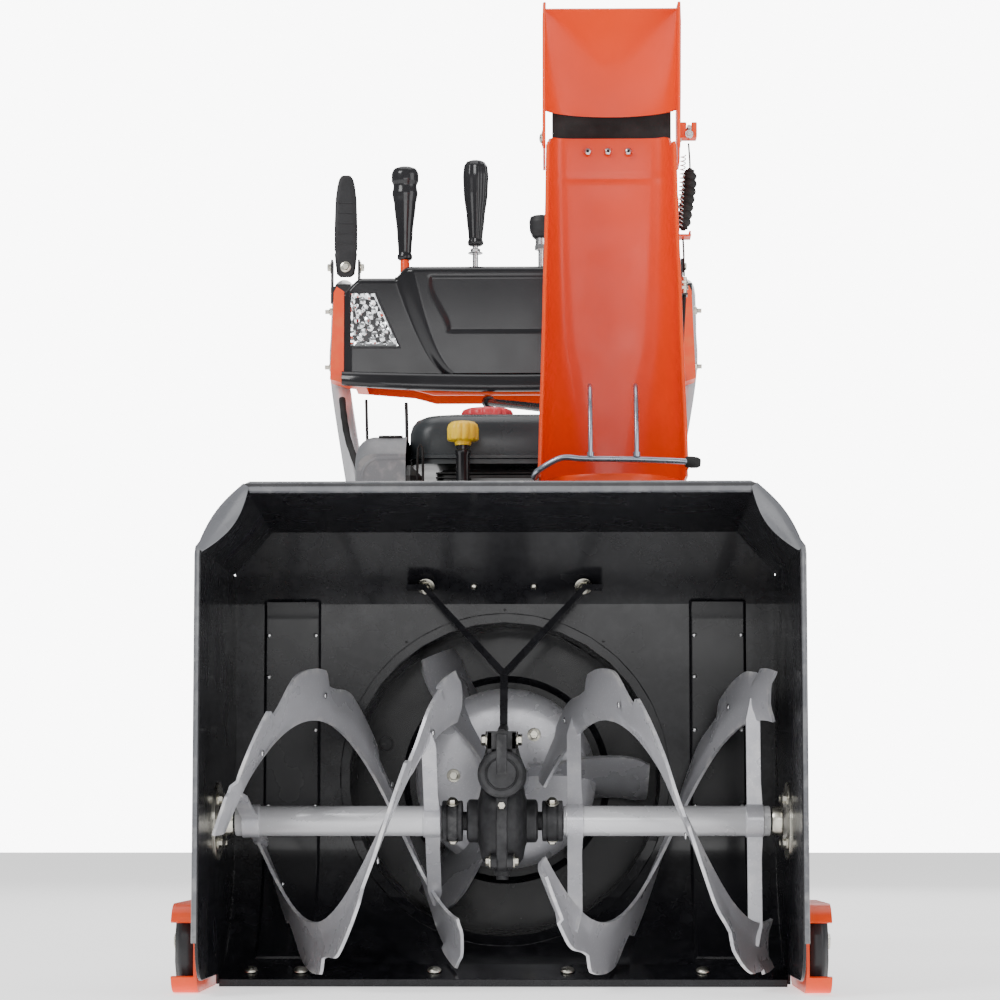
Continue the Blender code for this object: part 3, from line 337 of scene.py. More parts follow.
# floor
bm = bmesh.new()
bmesh.ops.create_grid(bm, x_segments=4, y_segments=4, size=14)
me = bpy.data.meshes.new("floor")
bm.to_mesh(me)
bm.free()
floor = bpy.data.objects.new("floor", me)
bpy.context.scene.collection.objects.link(floor)
floor.location = (0, 0, -0.0006)
fm = material("floor_pale", (0.97, 0.97, 0.97), 0.7, 0.0, var=0.01, bump=0.0)
fb = fm.node_tree.nodes["Principled BSDF"]
fb.inputs["Emission Color"].default_value = (1.0, 1.0, 1.0, 1.0)
fb.inputs["Emission Strength"].default_value = 1.0
fb.inputs["Specular IOR Level"].default_value = 0.1
me.materials.append(fm)

# ------------------------------------------------------------------ geometry helpers
V = Vector
Z = Vector((0, 0, 1))


def new(name, bm, mat, body, rep=(), bevel=0.0, angle=35, seg=2, recalc=True):
    """One visible piece from a bmesh, riding on its body."""
    bmesh.ops.remove_doubles(bm, verts=bm.verts, dist=0.000002)
    if recalc:
        bmesh.ops.recalc_face_normals(bm, faces=bm.faces)
    me = bpy.data.meshes.new(name)
    bm.to_mesh(me)
    bm.free()
    ob = bpy.data.objects.new(name, me)
    bpy.context.scene.collection.objects.link(ob)
    me.materials.append(M[mat])
    me.shade_smooth()
    me.set_sharp_from_angle(angle=math.radians(angle))
    if bevel:
        b = ob.modifiers.new("edges", "BEVEL")
        b.width = bevel * MM
        b.segments = seg
        b.limit_method = "ANGLE"
        b.angle_limit = math.radians(40)
        b.use_clamp_overlap = True
    if body:
        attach(ob, body)
    if rep:
        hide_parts(*rep)
    return ob


def add_box(bm, x0, x1, d0, d1, z0, z1, m=None):
    c = P((x0 + x1) / 2, (d0 + d1) / 2, (z0 + z1) / 2)
    s = (abs(x1 - x0) * MM, abs(d1 - d0) * MM, abs(z1 - z0) * MM, 1.0)
    mat = Matrix.Translation(c) @ Matrix.Diagonal(s)
    bmesh.ops.create_cube(bm, size=1.0, matrix=(m @ mat) if m else mat)


def frame_of(axis):
    return Z.rotation_difference(V(axis).normalized()).to_matrix()


def add_turned(bm, prof, at, axis, n=48, closed=False):
    """Profile of (radius, height) in mm turned about the line through `at` (world) along axis."""
    rot = frame_of(axis)
    rows = []
    for r, h in prof:
        if r < 1e-6:
            rows.append([bm.verts.new(at + rot @ V((0, 0, h * MM)))])
        else:
            rows.append([bm.verts.new(at + rot @ V((r * MM * math.cos(2 * math.pi * i / n),
                                                    r * MM * math.sin(2 * math.pi * i / n),
                                                    h * MM))) for i in range(n)])
    pairs = list(zip(rows, rows[1:]))
    if closed:
        pairs.append((rows[-1], rows[0]))
    for a, b in pairs:
        for i in range(n):
            j = (i + 1) % n
            if len(a) == 1 and len(b) == 1:
                break
            if len(a) == 1:
                bm.faces.new((a[0], b[j], b[i]))
            elif len(b) == 1:
                bm.faces.new((a[i], a[j], b[0]))
            else:
                bm.faces.new((a[i], a[j], b[j], b[i]))


def add_cyl(bm, a, b, r, n=32, r2=None):
    r2 = r if r2 is None else r2
    h = (b - a).length / MM
    c = min(0.5, r * 0.12)
    add_turned(bm, [(0, 0), (r - c, 0), (r, c), (r2, h - c), (r2 - c, h), (0, h)], a, b - a, n)


def add_loft(bm, rings, caps=True, wrap=True):
    rows = [[bm.verts.new(p) for p in ring] for ring in rings]
    n = len(rows[0])
    for a, b in zip(rows, rows[1:]):
        for i in range(n if wrap else n - 1):
            j = (i + 1) % n
            bm.faces.new((a[i], a[j], b[j], b[i]))
    if caps and wrap:
        bm.faces.new(rows[0][::-1])
        bm.faces.new(rows[-1])


def add_sheet(bm, grid, t, flip=False):
    """Sheet metal or moulded skin: a grid of world points given a thickness t (mm)."""
    R, C = len(grid), len(grid[0])
    nrm = []
    for i in range(R):
        row = []
        for j in range(C):
            du = grid[min(i + 1, R - 1)][j] - grid[max(i - 1, 0)][j]
            dv = grid[i][min(j + 1, C - 1)] - grid[i][max(j - 1, 0)]
            n = du.cross(dv)
            row.append(n.normalized() if n.length > 0 else Z)
        nrm.append(row)
    k = (-1 if flip else 1) * t * MM
    top = [[bm.verts.new(grid[i][j]) for j in range(C)] for i in range(R)]
    bot = [[bm.verts.new(grid[i][j] + nrm[i][j] * k) for j in range(C)] for i in range(R)]
    for i in range(R - 1):
        for j in range(C - 1):
            bm.faces.new((top[i][j], top[i][j + 1], top[i + 1][j + 1], top[i + 1][j]))
            bm.faces.new((bot[i][j], bot[i + 1][j], bot[i + 1][j + 1], bot[i][j + 1]))
    for i in range(R - 1):
        bm.faces.new((top[i][0], top[i + 1][0], bot[i + 1][0], bot[i][0]))
        bm.faces.new((top[i][C - 1], bot[i][C - 1], bot[i + 1][C - 1], top[i + 1][C - 1]))
    for j in range(C - 1):
        bm.faces.new((top[0][j], bot[0][j], bot[0][j + 1], top[0][j + 1]))
        bm.faces.new((top[R - 1][j], top[R - 1][j + 1], bot[R - 1][j + 1], bot[R - 1][j]))


def add_plate(bm, pts, place, t):
    """Flat outline (mm, u v) of thickness t, centred on the plane of `place`."""
    lo = [bm.verts.new(place @ V((u * MM, v * MM, -t * MM / 2))) for u, v in pts]
    hi = [bm.verts.new(place @ V((u * MM, v * MM, t * MM / 2))) for u, v in pts]
    n = len(pts)
    bm.faces.new(lo[::-1])
    bm.faces.new(hi)
    for i in range(n):
        j = (i + 1) % n
        bm.faces.new((lo[i], lo[j], hi[j], hi[i]))


def front_place(d):
    """(u, v) = (x, z) at depth d."""
    return Matrix(((1, 0, 0, 0), (0, 0, 1, (d - FRONT) * MM), (0, 1, 0, 0), (0, 0, 0, 1)))


def side_place(x):
    """(u, v) = (d, z) at x."""
    return Matrix(((0, 0, 1, x * MM), (1, 0, 0, -FRONT * MM), (0, 1, 0, 0), (0, 0, 0, 1)))


def smooth(pts, step):
    pts = [V(p) for p in pts]
    ext = [2 * pts[0] - pts[1]] + pts + [2 * pts[-1] - pts[-2]]
    out = [pts[0]]
    for i in range(1, len(ext) - 2):
        p0, p1, p2, p3 = ext[i - 1], ext[i], ext[i + 1], ext[i + 2]
        n = max(1, int(round((p2 - p1).length / step)))
        for k in range(1, n + 1):
            t = k / n
            out.append(0.5 * ((2 * p1) + (p2 - p0) * t + (2 * p0 - 5 * p1 + 4 * p2 - p3) * t * t
                              + (3 * p1 - p0 - 3 * p2 + p3) * t ** 3))
    return out


def add_tube(bm, pts, r, n=16, radius=None):
    """Round bar or cable along (x, d, z) points in mm; radius(t) may vary it."""
    w = [P(*p) for p in pts]
    up = None
    rings = []
    for i, p in enumerate(w):
        t = (w[min(i + 1, len(w) - 1)] - w[max(i - 1, 0)]).normalized()
        if up is None:
            up = t.orthogonal().normalized()
        up = (up - t * up.dot(t)).normalized()
        side = t.cross(up)
        rr = (radius(i / (len(w) - 1)) if radius else r) * MM
        rings.append([p + (up * math.cos(2 * math.pi * k / n) + side * math.sin(2 * math.pi * k / n)) * rr
                      for k in range(n)])
    add_loft(bm, rings)


def add_hex(bm, at, axis, r=6.5, h=5.5, washer=True, turn=0.0):
    """Hexagon-head bolt with a chamfered head on a washer."""
    rot = frame_of(axis) @ Matrix.Rotation(turn, 3, "Z")
    if washer:
        add_turned(bm, [(0, 0), (r * 1.42, 0), (r * 1.5, 0.3), (r * 1.5, 1.3), (r * 1.4, 1.6), (0, 1.6)],
                   at, axis, 24)
        at = at + V(axis).normalized() * 1.4 * MM
    rings = []
    for rr, hh in ((r, 0), (r, h * 0.8), (r * 0.86, h)):
        ring = []
        for k in range(24):
            a = 2 * math.pi * k / 24
            hexr = math.cos(math.pi / 6) / math.cos((a % (math.pi / 3)) - math.pi / 6)
            q = rr * (hexr if rr == r else min(1.0, hexr))
            ring.append(at + rot @ V((q * MM * math.cos(a), q * MM * math.sin(a), hh * MM)))
        rings.append(ring)
    add_loft(bm, rings)


def add_dome(bm, at, axis, r=8.0, h=4.0, n=24):
    prof = [(0, 0), (r, 0)] + [(r * math.cos(a), h * math.sin(a) + 0.4)
                               for a in [math.pi / 2 * k / 6 for k in range(6)]] + [(0, h + 0.4)]
    add_turned(bm, prof, at, axis, n)


def arc(cx, cy, r, a0, a1, n):
    return [(cx + r * math.cos(math.radians(a0 + (a1 - a0) * i / n)),
             cy + r * math.sin(math.radians(a0 + (a1 - a0) * i / n))) for i in range(n + 1)]


def lerp(a, b, t):
    return a + (b - a) * t


def sstep(a, b, t):
    t = max(0.0, min(1.0, (t - a) / (b - a)))
    return t * t * (3 - 2 * t)


# ------------------------------------------------------------------ dimensions shared with the frame
BODY = "machine"
AD, AZ = 165.0, 177.0
IZ = 226.0
RB = 173.0

# ------------------------------------------------------------------ auger housing
T = 3.0


def side_profile(off, n=28):
    pts = [(0.0, 519 + off), (288 + off * 0.6, 502 + off), (338 + off, 424 + off * 0.6), (338 + off, AZ)]
    pts += arc(AD, AZ, RB + off, 0, -66, n)[1:]
    pts += [(186 - 0.2 * off, 2.8 + off * -0.9)]
    return pts


def profile_point(off, s):
    """Point at share s of the way along the housing's side profile."""
    pts = side_profile(off)
    seg = [math.dist(a, b) for a, b in zip(pts, pts[1:])]
    want = s * sum(seg)
    for a, b, l in zip(pts, pts[1:], seg):
        if want <= l or (a, b) == (pts[-2], pts[-1]):
            t = min(1.0, want / l)
            return (lerp(a[0], b[0], t), lerp(a[1], b[1], t))
        want -= l


# wrapper sheet: top, slope, rear wall and curved floor, with the impeller mouth cut through
def wrapper():
    bm = bmesh.new()
    out = side_profile(0)
    inn = side_profile(-T)
    loop = out + inn[::-1]
    xs = 303.9
    a = [bm.verts.new(P(-xs, d, z)) for d, z in loop]
    b = [bm.verts.new(P(xs, d, z)) for d, z in loop]
    n = len(out)
    m = len(loop)
    for i in range(m):
        j = (i + 1) % m
        bm.faces.new((a[i], a[j], b[j], b[i]))
    for i in range(n - 1):
        bm.faces.new((a[i], a[i + 1], a[m - 2 - i], a[m - 1 - i]))
        bm.faces.new((b[i], b[i + 1], b[m - 2 - i], b[m - 1 - i]))
    return bm


def chamfer_cut(bm):
    """Trim the top corners of the wrapper and close them with the bevelled corner panels."""
    for s in (-1, 1):
        p0, p1 = P(s * 307, 0, 453), P(s * 261, 0, 519)
        nrm = V((s * (p1.z - p0.z), 0, abs(p0.x - p1.x))).normalized()
        geom = bm.verts[:] + bm.edges[:] + bm.faces[:]
        r = bmesh.ops.bisect_plane(bm, geom=geom, plane_co=p0, plane_no=nrm, clear_outer=True)
        edges = [e for e in r["geom_cut"] if isinstance(e, bmesh.types.BMEdge)]
        bmesh.ops.holes_fill(bm, edges=edges, sides=0)


bm = wrapper()
chamfer_cut(bm)
bmesh.ops.recalc_face_normals(bm, faces=bm.faces)
shell = new("housing_wrapper", bm, "black_paint", BODY, rep=("auger_housing",), angle=25)
# mouth of the impeller drum
bm = bmesh.new()
add_turned(bm, [(0, 0), (186, 0), (186, 240), (0, 240)], P(0, 200, IZ), (0, 1, 0), 128)
bmesh.ops.recalc_face_normals(bm, faces=bm.faces)
me = bpy.data.meshes.new("mouth_tool")
bm.to_mesh(me)
bm.free()
tool = bpy.data.objects.new("mouth_tool", me)
bpy.context.scene.collection.objects.link(tool)
b = shell.modifiers.new("mouth", "BOOLEAN")
b.operation = "DIFFERENCE"
b.solver = "EXACT"
b.object = tool
bpy.context.view_layer.update()
dg = bpy.context.evaluated_depsgraph_get()
cut_me = bpy.data.meshes.new_from_object(shell.evaluated_get(dg), depsgraph=dg)
shell.modifiers.clear()
shell.data = cut_me
bpy.data.objects.remove(tool, do_unlink=True)
shell.data.materials.clear()
shell.data.materials.append(M["black_paint"])
shell.data.set_sharp_from_angle(angle=math.radians(25))

# corner panels, side plates
bm = bmesh.new()
for s in (-1, 1):
    grid = []
    for i in range(2):
        d = 0.5 if i == 0 else 300.0
        row = []
        for k in range(2):
            x, z = ((s * 307, 453), (s * 261, 519))[k]
            row.append(P(x, d, z - (17 if (i and k) else 0) * 1.0))
        grid.append(row)
    add_sheet(bm, grid, 3, flip=(s > 0))
new("housing_corner_panels", bm, "black_paint", BODY, bevel=0.5)
bm = bmesh.new()
side_out = ([(0.5, 453), (0.5, 56)] + arc(42, 56, 41.5, 180, 270, 10) + [(186, 14), (186, 2.8)]
            + [p for p in arc(AD, AZ, RB, -66, 0, 24)] + [(338, 424), (320, 453)])
for s in (-1, 1):
    add_plate(bm, side_out, side_place(s * 305.5), 3.0)
new("housing_side_plates", bm, "black_paint", BODY, bevel=0.7)

# rolled front lip, in the light grey copy of the black enamel: painted sheen
lip_path = [(-307.6, 54), (-307.6, 447), (-307.0, 453), (-260.0, 516), (-255, 518), (255, 518),
            (260.0, 516), (307.0, 453), (307.6, 447), (307.6, 54)]
lip_w = [(3.6, 3.6), (3.6, 3.6), (4.0, 3.8), (3.8, 4.2), (4.0, 8.0), (4.0, 8.0), (3.8, 4.2),
         (4.0, 3.8), (3.6, 3.6), (3.6, 3.6)]
bm = bmesh.new()
rings = []
n = len(lip_path)
for i, (x, z) in enumerate(lip_path):
    a = V(lip_path[max(i - 1, 0)])
    c = V(lip_path[min(i + 1, n - 1)])
    t = (c - a).normalized()
    out = V((-t.y, t.x))
    ou, inn_ = lip_w[i]
    ring = []
    for k in range(16):
        ang = 2 * math.pi * k / 16
        cu = math.copysign(abs(math.cos(ang)) ** 0.6, math.cos(ang))
        cv = math.copysign(abs(math.sin(ang)) ** 0.6, math.sin(ang))
        off = (ou - inn_) / 2 + (ou + inn_) / 2 * cu
        ring.append(P(x + out.x * off, 6.2 + 6.0 * cv, z + out.y * off))
    rings.append(ring)
add_loft(bm, rings)
new("housing_rolled_lip", bm, "lip_painted_sheen", BODY, angle=50)

# flared corner lips: a crescent on each bevelled corner, in the light grey copy of the black enamel: painted sheen
bm = bmesh.new()
for s in (-1, 1):
    a0, a1 = V((s * 305.5, 452)), V((s * 258.5, 517.5))
    mid = (a1 - a0)
    nr = V((mid.y, -mid.x)).normalized() * (1 if s > 0 else 1)
    if nr.x * s < 0:
        nr = -nr
    grid = []
    for i in range(25):
        t = i / 24
        base = a0 + mid * t
        bulge = math.sin(math.pi * t)
        row = []
        for k in range(7):
            q = k / 6
            w = lerp(-4.0 - 9.5 * bulge, 3.2 + 6.0 * bulge, q)
            row.append(P(base.x + nr.x * w, 1.2 - 5.0 * bulge * math.sin(math.pi * q) * 0.25 + 1.0 * q,
                         base.y + nr.y * w))
        grid.append(row)
    add_sheet(bm, grid, 2.2, flip=(s > 0))
new("housing_corner_lips", bm, "lip_painted_sheen", BODY, bevel=0.5)

# stiffening channels on the rear wall, following it down to the floor
bm = bmesh.new()
for s in (-1, 1):
    prof = [profile_point(-T - 0.2, t) for t in [0.43 + 0.50 * i / 40 for i in range(41)]]
    prof2 = [profile_point(-T - 3.4, t) for t in [0.43 + 0.50 * i / 40 for i in range(41)]]
    for x0, x1, hgt in ((208, 273, 0.0),):
        rings = []
        for (d0, z0), (d1, z1) in zip(prof, prof2):
            rings.append([P(s * x0, d0, z0), P(s * (x0 + 3.2), d1, z1), P(s * (x1 - 3.2), d1, z1),
                          P(s * x1, d0, z0)])
        add_loft(bm, rings)
new("housing_channels", bm, "black_paint", BODY, bevel=0.6)

# fasteners of the housing
bm = bmesh.new()
for s in (-1, 1):
    for t in (0.475, 0.53, 0.60, 0.70):
        d, z = profile_point(-T - 3.4, t)
        d2, z2 = profile_point(-T - 3.4, t + 0.01)
        tang = V((0, (d2 - d), (z2 - z))).normalized()
        nrm = V((0, -tang.z, tang.y))
        if nrm.y > 0:
            nrm = -nrm
        for x in (214, 267):
            add_dome(bm, P(s * x, d, z), nrm, 2.6, 1.4, 14)
new("housing_rivets", bm, "steel", BODY)

bm = bmesh.new()
slope_n = V((0, -0.843, -0.537)).normalized()
for x in (-89, 89):
    add_hex(bm, P(x, 317.0, 441), slope_n, 6.6, 6.0)
    add_cyl(bm, P(x, 317.0, 441) + slope_n * 0.006, P(x, 317.0, 441) + slope_n * 0.013, 3.9, 16)
for x in (-35, 33):
    add_dome(bm, P(x, 322.0, 441), slope_n, 4.0, 2.4, 18)
new("brace_bolts", bm, "zinc", BODY)

# bolt heads on the outer side plates: bearings and skid shoes
bm = bmesh.new()
for s in (-1, 1):
    for k in range(4):
        a = math.radians(45 + 90 * k)
        add_hex(bm, P(s * 307.0, AD + 31 * math.cos(a), AZ + 31 * math.sin(a)), (s, 0, 0), 5.2, 4.2)
    for zz in (420, 330, 250):
        add_dome(bm, P(s * 307.0, 320, zz), (s, 0, 0), 4.0, 2.0, 16)
    add_turned(bm, [(0, 0), (16, 0), (15, 3.4), (10, 3.8), (0, 3.8)], P(s * 307, AD, AZ), (s, 0, 0), 32)
new("side_plate_bolts", bm, "zinc", BODY)

# ------------------------------------------------------------------ scraper bar
bm = bmesh.new()
pts = [(182.5, 0.5), (185.6, 0.5), (185.6, 6.3), (226, 19.8), (226, 22.4), (182.5, 8.6)]
add_plate(bm, pts, side_place(0), 607)
new("scraper_blade", bm, "black_paint", BODY, rep=("scraper_bar",), bevel=0.5)
bm = bmesh.new()
floor_n = V((0, -0.30, 0.95)).normalized()
for x in (-272, -218, -74, 69, 215):
    add_dome(bm, P(x, 205, 16.6), floor_n, 8.0, 4.0, 24)
new("scraper_bolts", bm, "zinc", BODY)

# ------------------------------------------------------------------ discharge chute
CX, CD = 123.0, 404.0
ROWS = [(481, 82, 486, 322, 2.0), (560, 82, 486, 322, 2.0), (620, 80.5, 485, 324, 2.4),
        (700, 78, 483.5, 334, 3.2), (760, 76.5, 482, 343, 4.4), (900, 73, 478, 364, 6.0),
        (993, 71.5, 474.8, 379, 7.0)]


def chute_dims(z):
    for a, b in zip(ROWS, ROWS[1:]):
        if z <= b[0] or b is ROWS[-1]:
            t = sstep(0, 1, (z - a[0]) / (b[0] - a[0])) * 0.35 + 0.65 * (z - a[0]) / (b[0] - a[0])
            return [lerp(a[i], b[i], t) for i in range(1, 5)]


def chute_point(z, u, off=0.0):
    """Point of the chute wall: u from -1 (left front edge) round the back (0) to 1."""
    w, db, df, q = chute_dims(z)
    k = abs(u)
    s = 1 if u >= 0 else -1
    if k <= 0.62:
        a = k / 0.62 * math.pi / 2
        x = (w + off) * math.sin(a) ** (2 / q)
        y = CD + (db - CD + off) * max(0.0, math.cos(a)) ** (2 / q)
    else:
        t = (k - 0.62) / 0.38
        x = w + off
        y = lerp(CD, df, t)
    return CX + s * x, y


US = [-1 + 2 * i / 120 for i in range(121)]
bm = bmesh.new()
grid = []
NZ = 110
for i in range(NZ + 1):
    row = []
    for u in US:
        k = abs(u)
        ztop = 993 - 6 * sstep(0.30, 0.56, k) - 19 * sstep(0.44, 0.70, k) - 3 * sstep(0.7, 1.0, k)
        z = lerp(566, ztop, i / NZ)
        x, y = chute_point(z, u)
        # pressed line under the screws, and the two pressed panels at the foot
        if k < 0.50:
            e = 1.3 * math.exp(-((z - (945 - 10 * (k / 0.5) ** 4)) / 2.2) ** 2)
            y += e
        wv = math.exp(-((z - 655) / 26.0) ** 2) * math.exp(-((k - 0.30) / 0.085) ** 2)
        y -= 3.4 * wv
        row.append(P(x, y, z))
    grid.append(row)
add_sheet(bm, grid, 2.8)
new("chute_shell", bm, "orange_paint", "chute_turret", rep=("chute",), angle=40)

# rolled front edges and the collar that turns on the drum outlet
bm = bmesh.new()
for s in (-1, 1):
    rings = []
    for i in range(41):
        z = lerp(574, 962, i / 40)
        x, y = chute_point(z, s)
        w = s
        rings.append([P(x + w * (1.4 + 2.4 * math.cos(a)), y + 1.5 + 3.6 * math.sin(a), z)
                      for a in [2 * math.pi * k / 14 for k in range(14)]])
    add_loft(bm, rings)
add_turned(bm, [(79, 474.6), (85.8, 474.6), (86, 475.5), (86, 482.5), (85, 483.6), (81.9, 484.5),
                (81.6, 566), (80.6, 570), (78.6, 570), (78.4, 480)],
           P(CX, CD, 0), (0, 0, 1), 96, closed=True)
# foot of the opening
pts = [chute_point(570, -1 + 0.02 * i) for i in range(101)]
new("chute_collar", bm, "orange_paint", "chute_turret", bevel=0.4)
bm = bmesh.new()
for k in range(3):
    a = math.radians(35 + 120 * k)
    v = V((math.cos(a), math.sin(a), 0))
    add_hex(bm, P(CX, CD, 521) + v * 81.4 * MM, v, 5.2, 4.2)
new("collar_bolts", bm, "zinc", "chute_turret")

# three screws under the upper edge, seen from the mouth, with their nuts behind, and a black hexagon in each screw's
# recess as painted shade
bm = bmesh.new()
bm2 = bmesh.new()
for x in (97, 121.5, 146):
    y = chute_point(976, 0.2)[1] - 2.8
    at = P(x, y + 0.0, 976)
    add_turned(bm, [(0, 0), (4.3, 0), (4.6, 0.5), (4.2, 1.9), (3.0, 2.7), (1.9, 2.9), (1.9, 1.0), (0, 1.0)],
               at, (0, -1, 0), 24)
    add_hex(bm, P(x, 485.4, 976), (0, 1, 0), 4.6, 4.0)
    add_turned(bm2, [(0, 0.6), (1.8, 0.6), (1.8, 2.2), (0, 2.2)], at, (0, -1, 0), 6)
new("band_screws", bm, "steel", "chute_turret")
# black rubber hexagons filling the screw recesses: painted shade of the sockets
new("band_screw_socket_shade", bm2, "rubber", "chute_turret")

# rubber band bridging the gap to the deflector
bm = bmesh.new()
grid = []
for i in range(31):
    z = lerp(966, 1036, i / 30)
    row = []
    for j in range(61):
        x = lerp(55.5, 196.5, j / 60)
        e = abs(x - 126) / 70.5
        y = 482.6 + 0.5 * math.sin(x * 0.11) * sstep(990, 1020, z) - 4.0 * e ** 8
        row.append(P(x, y, z - 2.0 * e ** 10 * (1 if i > 15 else -1)))
    grid.append(row)
add_sheet(bm, grid, 2.4)
band = new("hinge_band", bm, "rubber", None, rep=("deflector_flap",))
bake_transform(band)

# ------------------------------------------------------------------ deflector
HX = 124.0
HZ0, HZ1 = 1020.0, 1132.6


def hood_point(t, u):
    """t from the lower edge (0) to the lip (1); u from the left front edge (-1) round the back to 1."""
    z = lerp(HZ0, HZ1, t)
    w = 80.2 - 1.8 * max(0.0, t - 0.8) * 2 + 0.0
    lean = max(0.0, (z - 1005) / (1134 - 1005))
    db = 481.0 - 75 * lean ** 1.6
    df = 395 - 10 - 18 * t
    c = 0.05 + 0.95 * t ** 3.1
    k = abs(u)
    s = 1 if u >= 0 else -1
    if k <= 0.68:
        g = k / 0.68
        g = math.sin(g * math.pi / 2) ** 0.92
        x = w * g
        drop = 0.0
        if g > c:
            v = (g - c) / max(1e-6, 1 - c)
            drop = (1 - math.sqrt(max(0.0, 1 - v ** 2.0))) * (40 * (1 - t) ** 0.8 + 0.0)
            drop += 2.2 * (1 - t) * v
        y = db - drop
    else:
        q = (k - 0.68) / 0.32
        x = w
        y = lerp(db - (42.2 * (1 - t) ** 0.8 + 0.0), df, q)
    dip = 0.22 * max(0.0, t - 0.45)
    return HX + s * x, y, z - dip * (db - y)


bm = bmesh.new()
UU = [-1 + 2 * i / 160 for i in range(161)]
grid = [[P(*hood_point(i / 72, u)) for u in UU] for i in range(73)]
add_sheet(bm, grid, 2.8, flip=True)
hood = new("deflector_shell", bm, "orange_paint", "chute_deflector", rep=("deflector",), angle=12)

# ears either side, and the hem of the front edges
bm = bmesh.new()
for s in (-1, 1):
    ear = [(395, 1023), (480 - 38, 1023), (454, 1018), (454.5, 1000), (454, 972)] + \
        arc(436, 964, 18, 0, -75, 8) + [(412, 948.5), (404, 952), (400, 962)]
    add_plate(bm, ear, side_place(HX + s * 78.9), 2.8)
hem = []
for s in (-1, 1):
    rings = []
    for i in range(49):
        if i < 12:
            x, y, z = HX + s * 80.2, lerp(402, 386, (i / 12) ** 0.7), lerp(964, HZ0, i / 12)
        else:
            x, y, z = hood_point((i - 12) / 36, s)
        rings.append([P(x + s * (-1.2 + 1.9 * math.cos(a)), y + 3.0 * math.sin(a), z)
                      for a in [2 * math.pi * k / 12 for k in range(12)]])
    add_loft(bm, rings)
new("deflector_ears", bm, "orange_paint", "chute_deflector", bevel=0.6)
bm = bmesh.new()
for s in (-1, 1):
    n = (s, 0, 0)
    add_turned(bm, [(0, 0), (9.5, 0), (9.5, 1.2), (5.5, 1.6), (0, 1.6)], P(HX + s * 80.4, 440, 985), n, 28)
    add_dome(bm, P(HX + s * 81.8, 440, 985), n, 6.0, 2.6, 22)
new("deflector_pivots", bm, "zinc", "chute_deflector")

# bracket, bellows, spring and cable that tilt the deflector
bm = bmesh.new()
pts = [(206, 983.5), (226, 983.5), (226, 1002), (219.5, 1002), (219.5, 992), (213.5, 992),
       (213.5, 1002), (206, 1002)]
add_plate(bm, [(x, z) for x, z in pts], front_place(441), 20)
new("tilt_bracket", bm, "orange_paint", "chute_deflector", bevel=1.2)
bm = bmesh.new()
add_hex(bm, P(216.5, 430.8, 987), (0, -1, 0), 3.4, 3.2)
add_cyl(bm, P(216.5, 430, 996), P(216.5, 452, 996), 2.6, 18)
new("tilt_pin", bm, "steel", "chute_deflector")

path = smooth([(217, 455, 982), (218.4, 456, 962), (218.6, 456, 948)], 3)
bm = bmesh.new()
add_tube(bm, [tuple(p) for p in path], 1.1, 10)
top_cable = new("tilt_cable_upper", bm, "rubber", None)
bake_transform(top_cable)
bm = bmesh.new()
add_tube(bm, [tuple(p) for p in smooth([(209.6, 456, 872), (210.6, 456, 850), (211, 456, 822)], 3)], 1.2, 10)
add_tube(bm, [tuple(p) for p in smooth([(211, 456, 800), (209, 462, 760), (205.5, 474, 690), (201, 480, 640),
                                        (194, 487, 600)], 4)], 2.6, 12)
new("tilt_cable", bm, "rubber", "chute_turret")

path = smooth([(218.6, 456, 952), (217.5, 456, 930), (213.5, 456, 904), (209.8, 456, 877)], 0.8)
bm = bmesh.new()
add_tube(bm, [tuple(p) for p in path], 6, 24,
         radius=lambda t: (2.4 + 4.2 * (1 - abs(2 * t - 1) ** 7)) + (2.3 * abs(math.cos(t * math.pi * 8)) ** 0.8)
         * (1 if 0.03 < t < 0.97 else 0))
new("cable_bellows", bm, "rubber", "chute_turret", rep=("deflector_cable_boot",), angle=60)

bm = bmesh.new()
coil = []
turns = 17
for i in range(turns * 14 + 1):
    t = i / (turns * 14)
    a = 2 * math.pi * turns * t
    coil.append((lerp(210.5, 206.0, t) + 2.9 * math.cos(a), 447 + 2.9 * math.sin(a), lerp(966, 880, t)))
add_tube(bm, coil, 0.65, 8)
spring = new("return_spring", bm, "steel", None, angle=60)
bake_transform(spring)

bm = bmesh.new()
add_box(bm, 197.5, 219, 440, 464, 867, 869.6)
add_box(bm, 197.6, 199.8, 440, 464, 854, 869.6)
add_box(bm, 216.6, 219, 447, 462, 869, 875)
new("bellows_clip", bm, "orange_paint", "chute_turret", bevel=0.7)

bm = bmesh.new()
add_cyl(bm, P(211, 456, 800), P(211, 456, 821), 3.4, 24)
add_hex(bm, P(211, 456, 806), (0, 0, 1), 5.2, 4.0, washer=False)
add_hex(bm, P(211, 456, 813), (0, 0, 1), 4.8, 3.2, washer=False)
new("cable_adjuster", bm, "zinc", "chute_turret")
bm = bmesh.new()
add_box(bm, 198.4, 215, 447, 465, 798, 800.5)
add_box(bm, 198.2, 200.2, 447, 465, 786, 800.5)
new("adjuster_bracket", bm, "black_paint", "chute_turret", bevel=0.6)

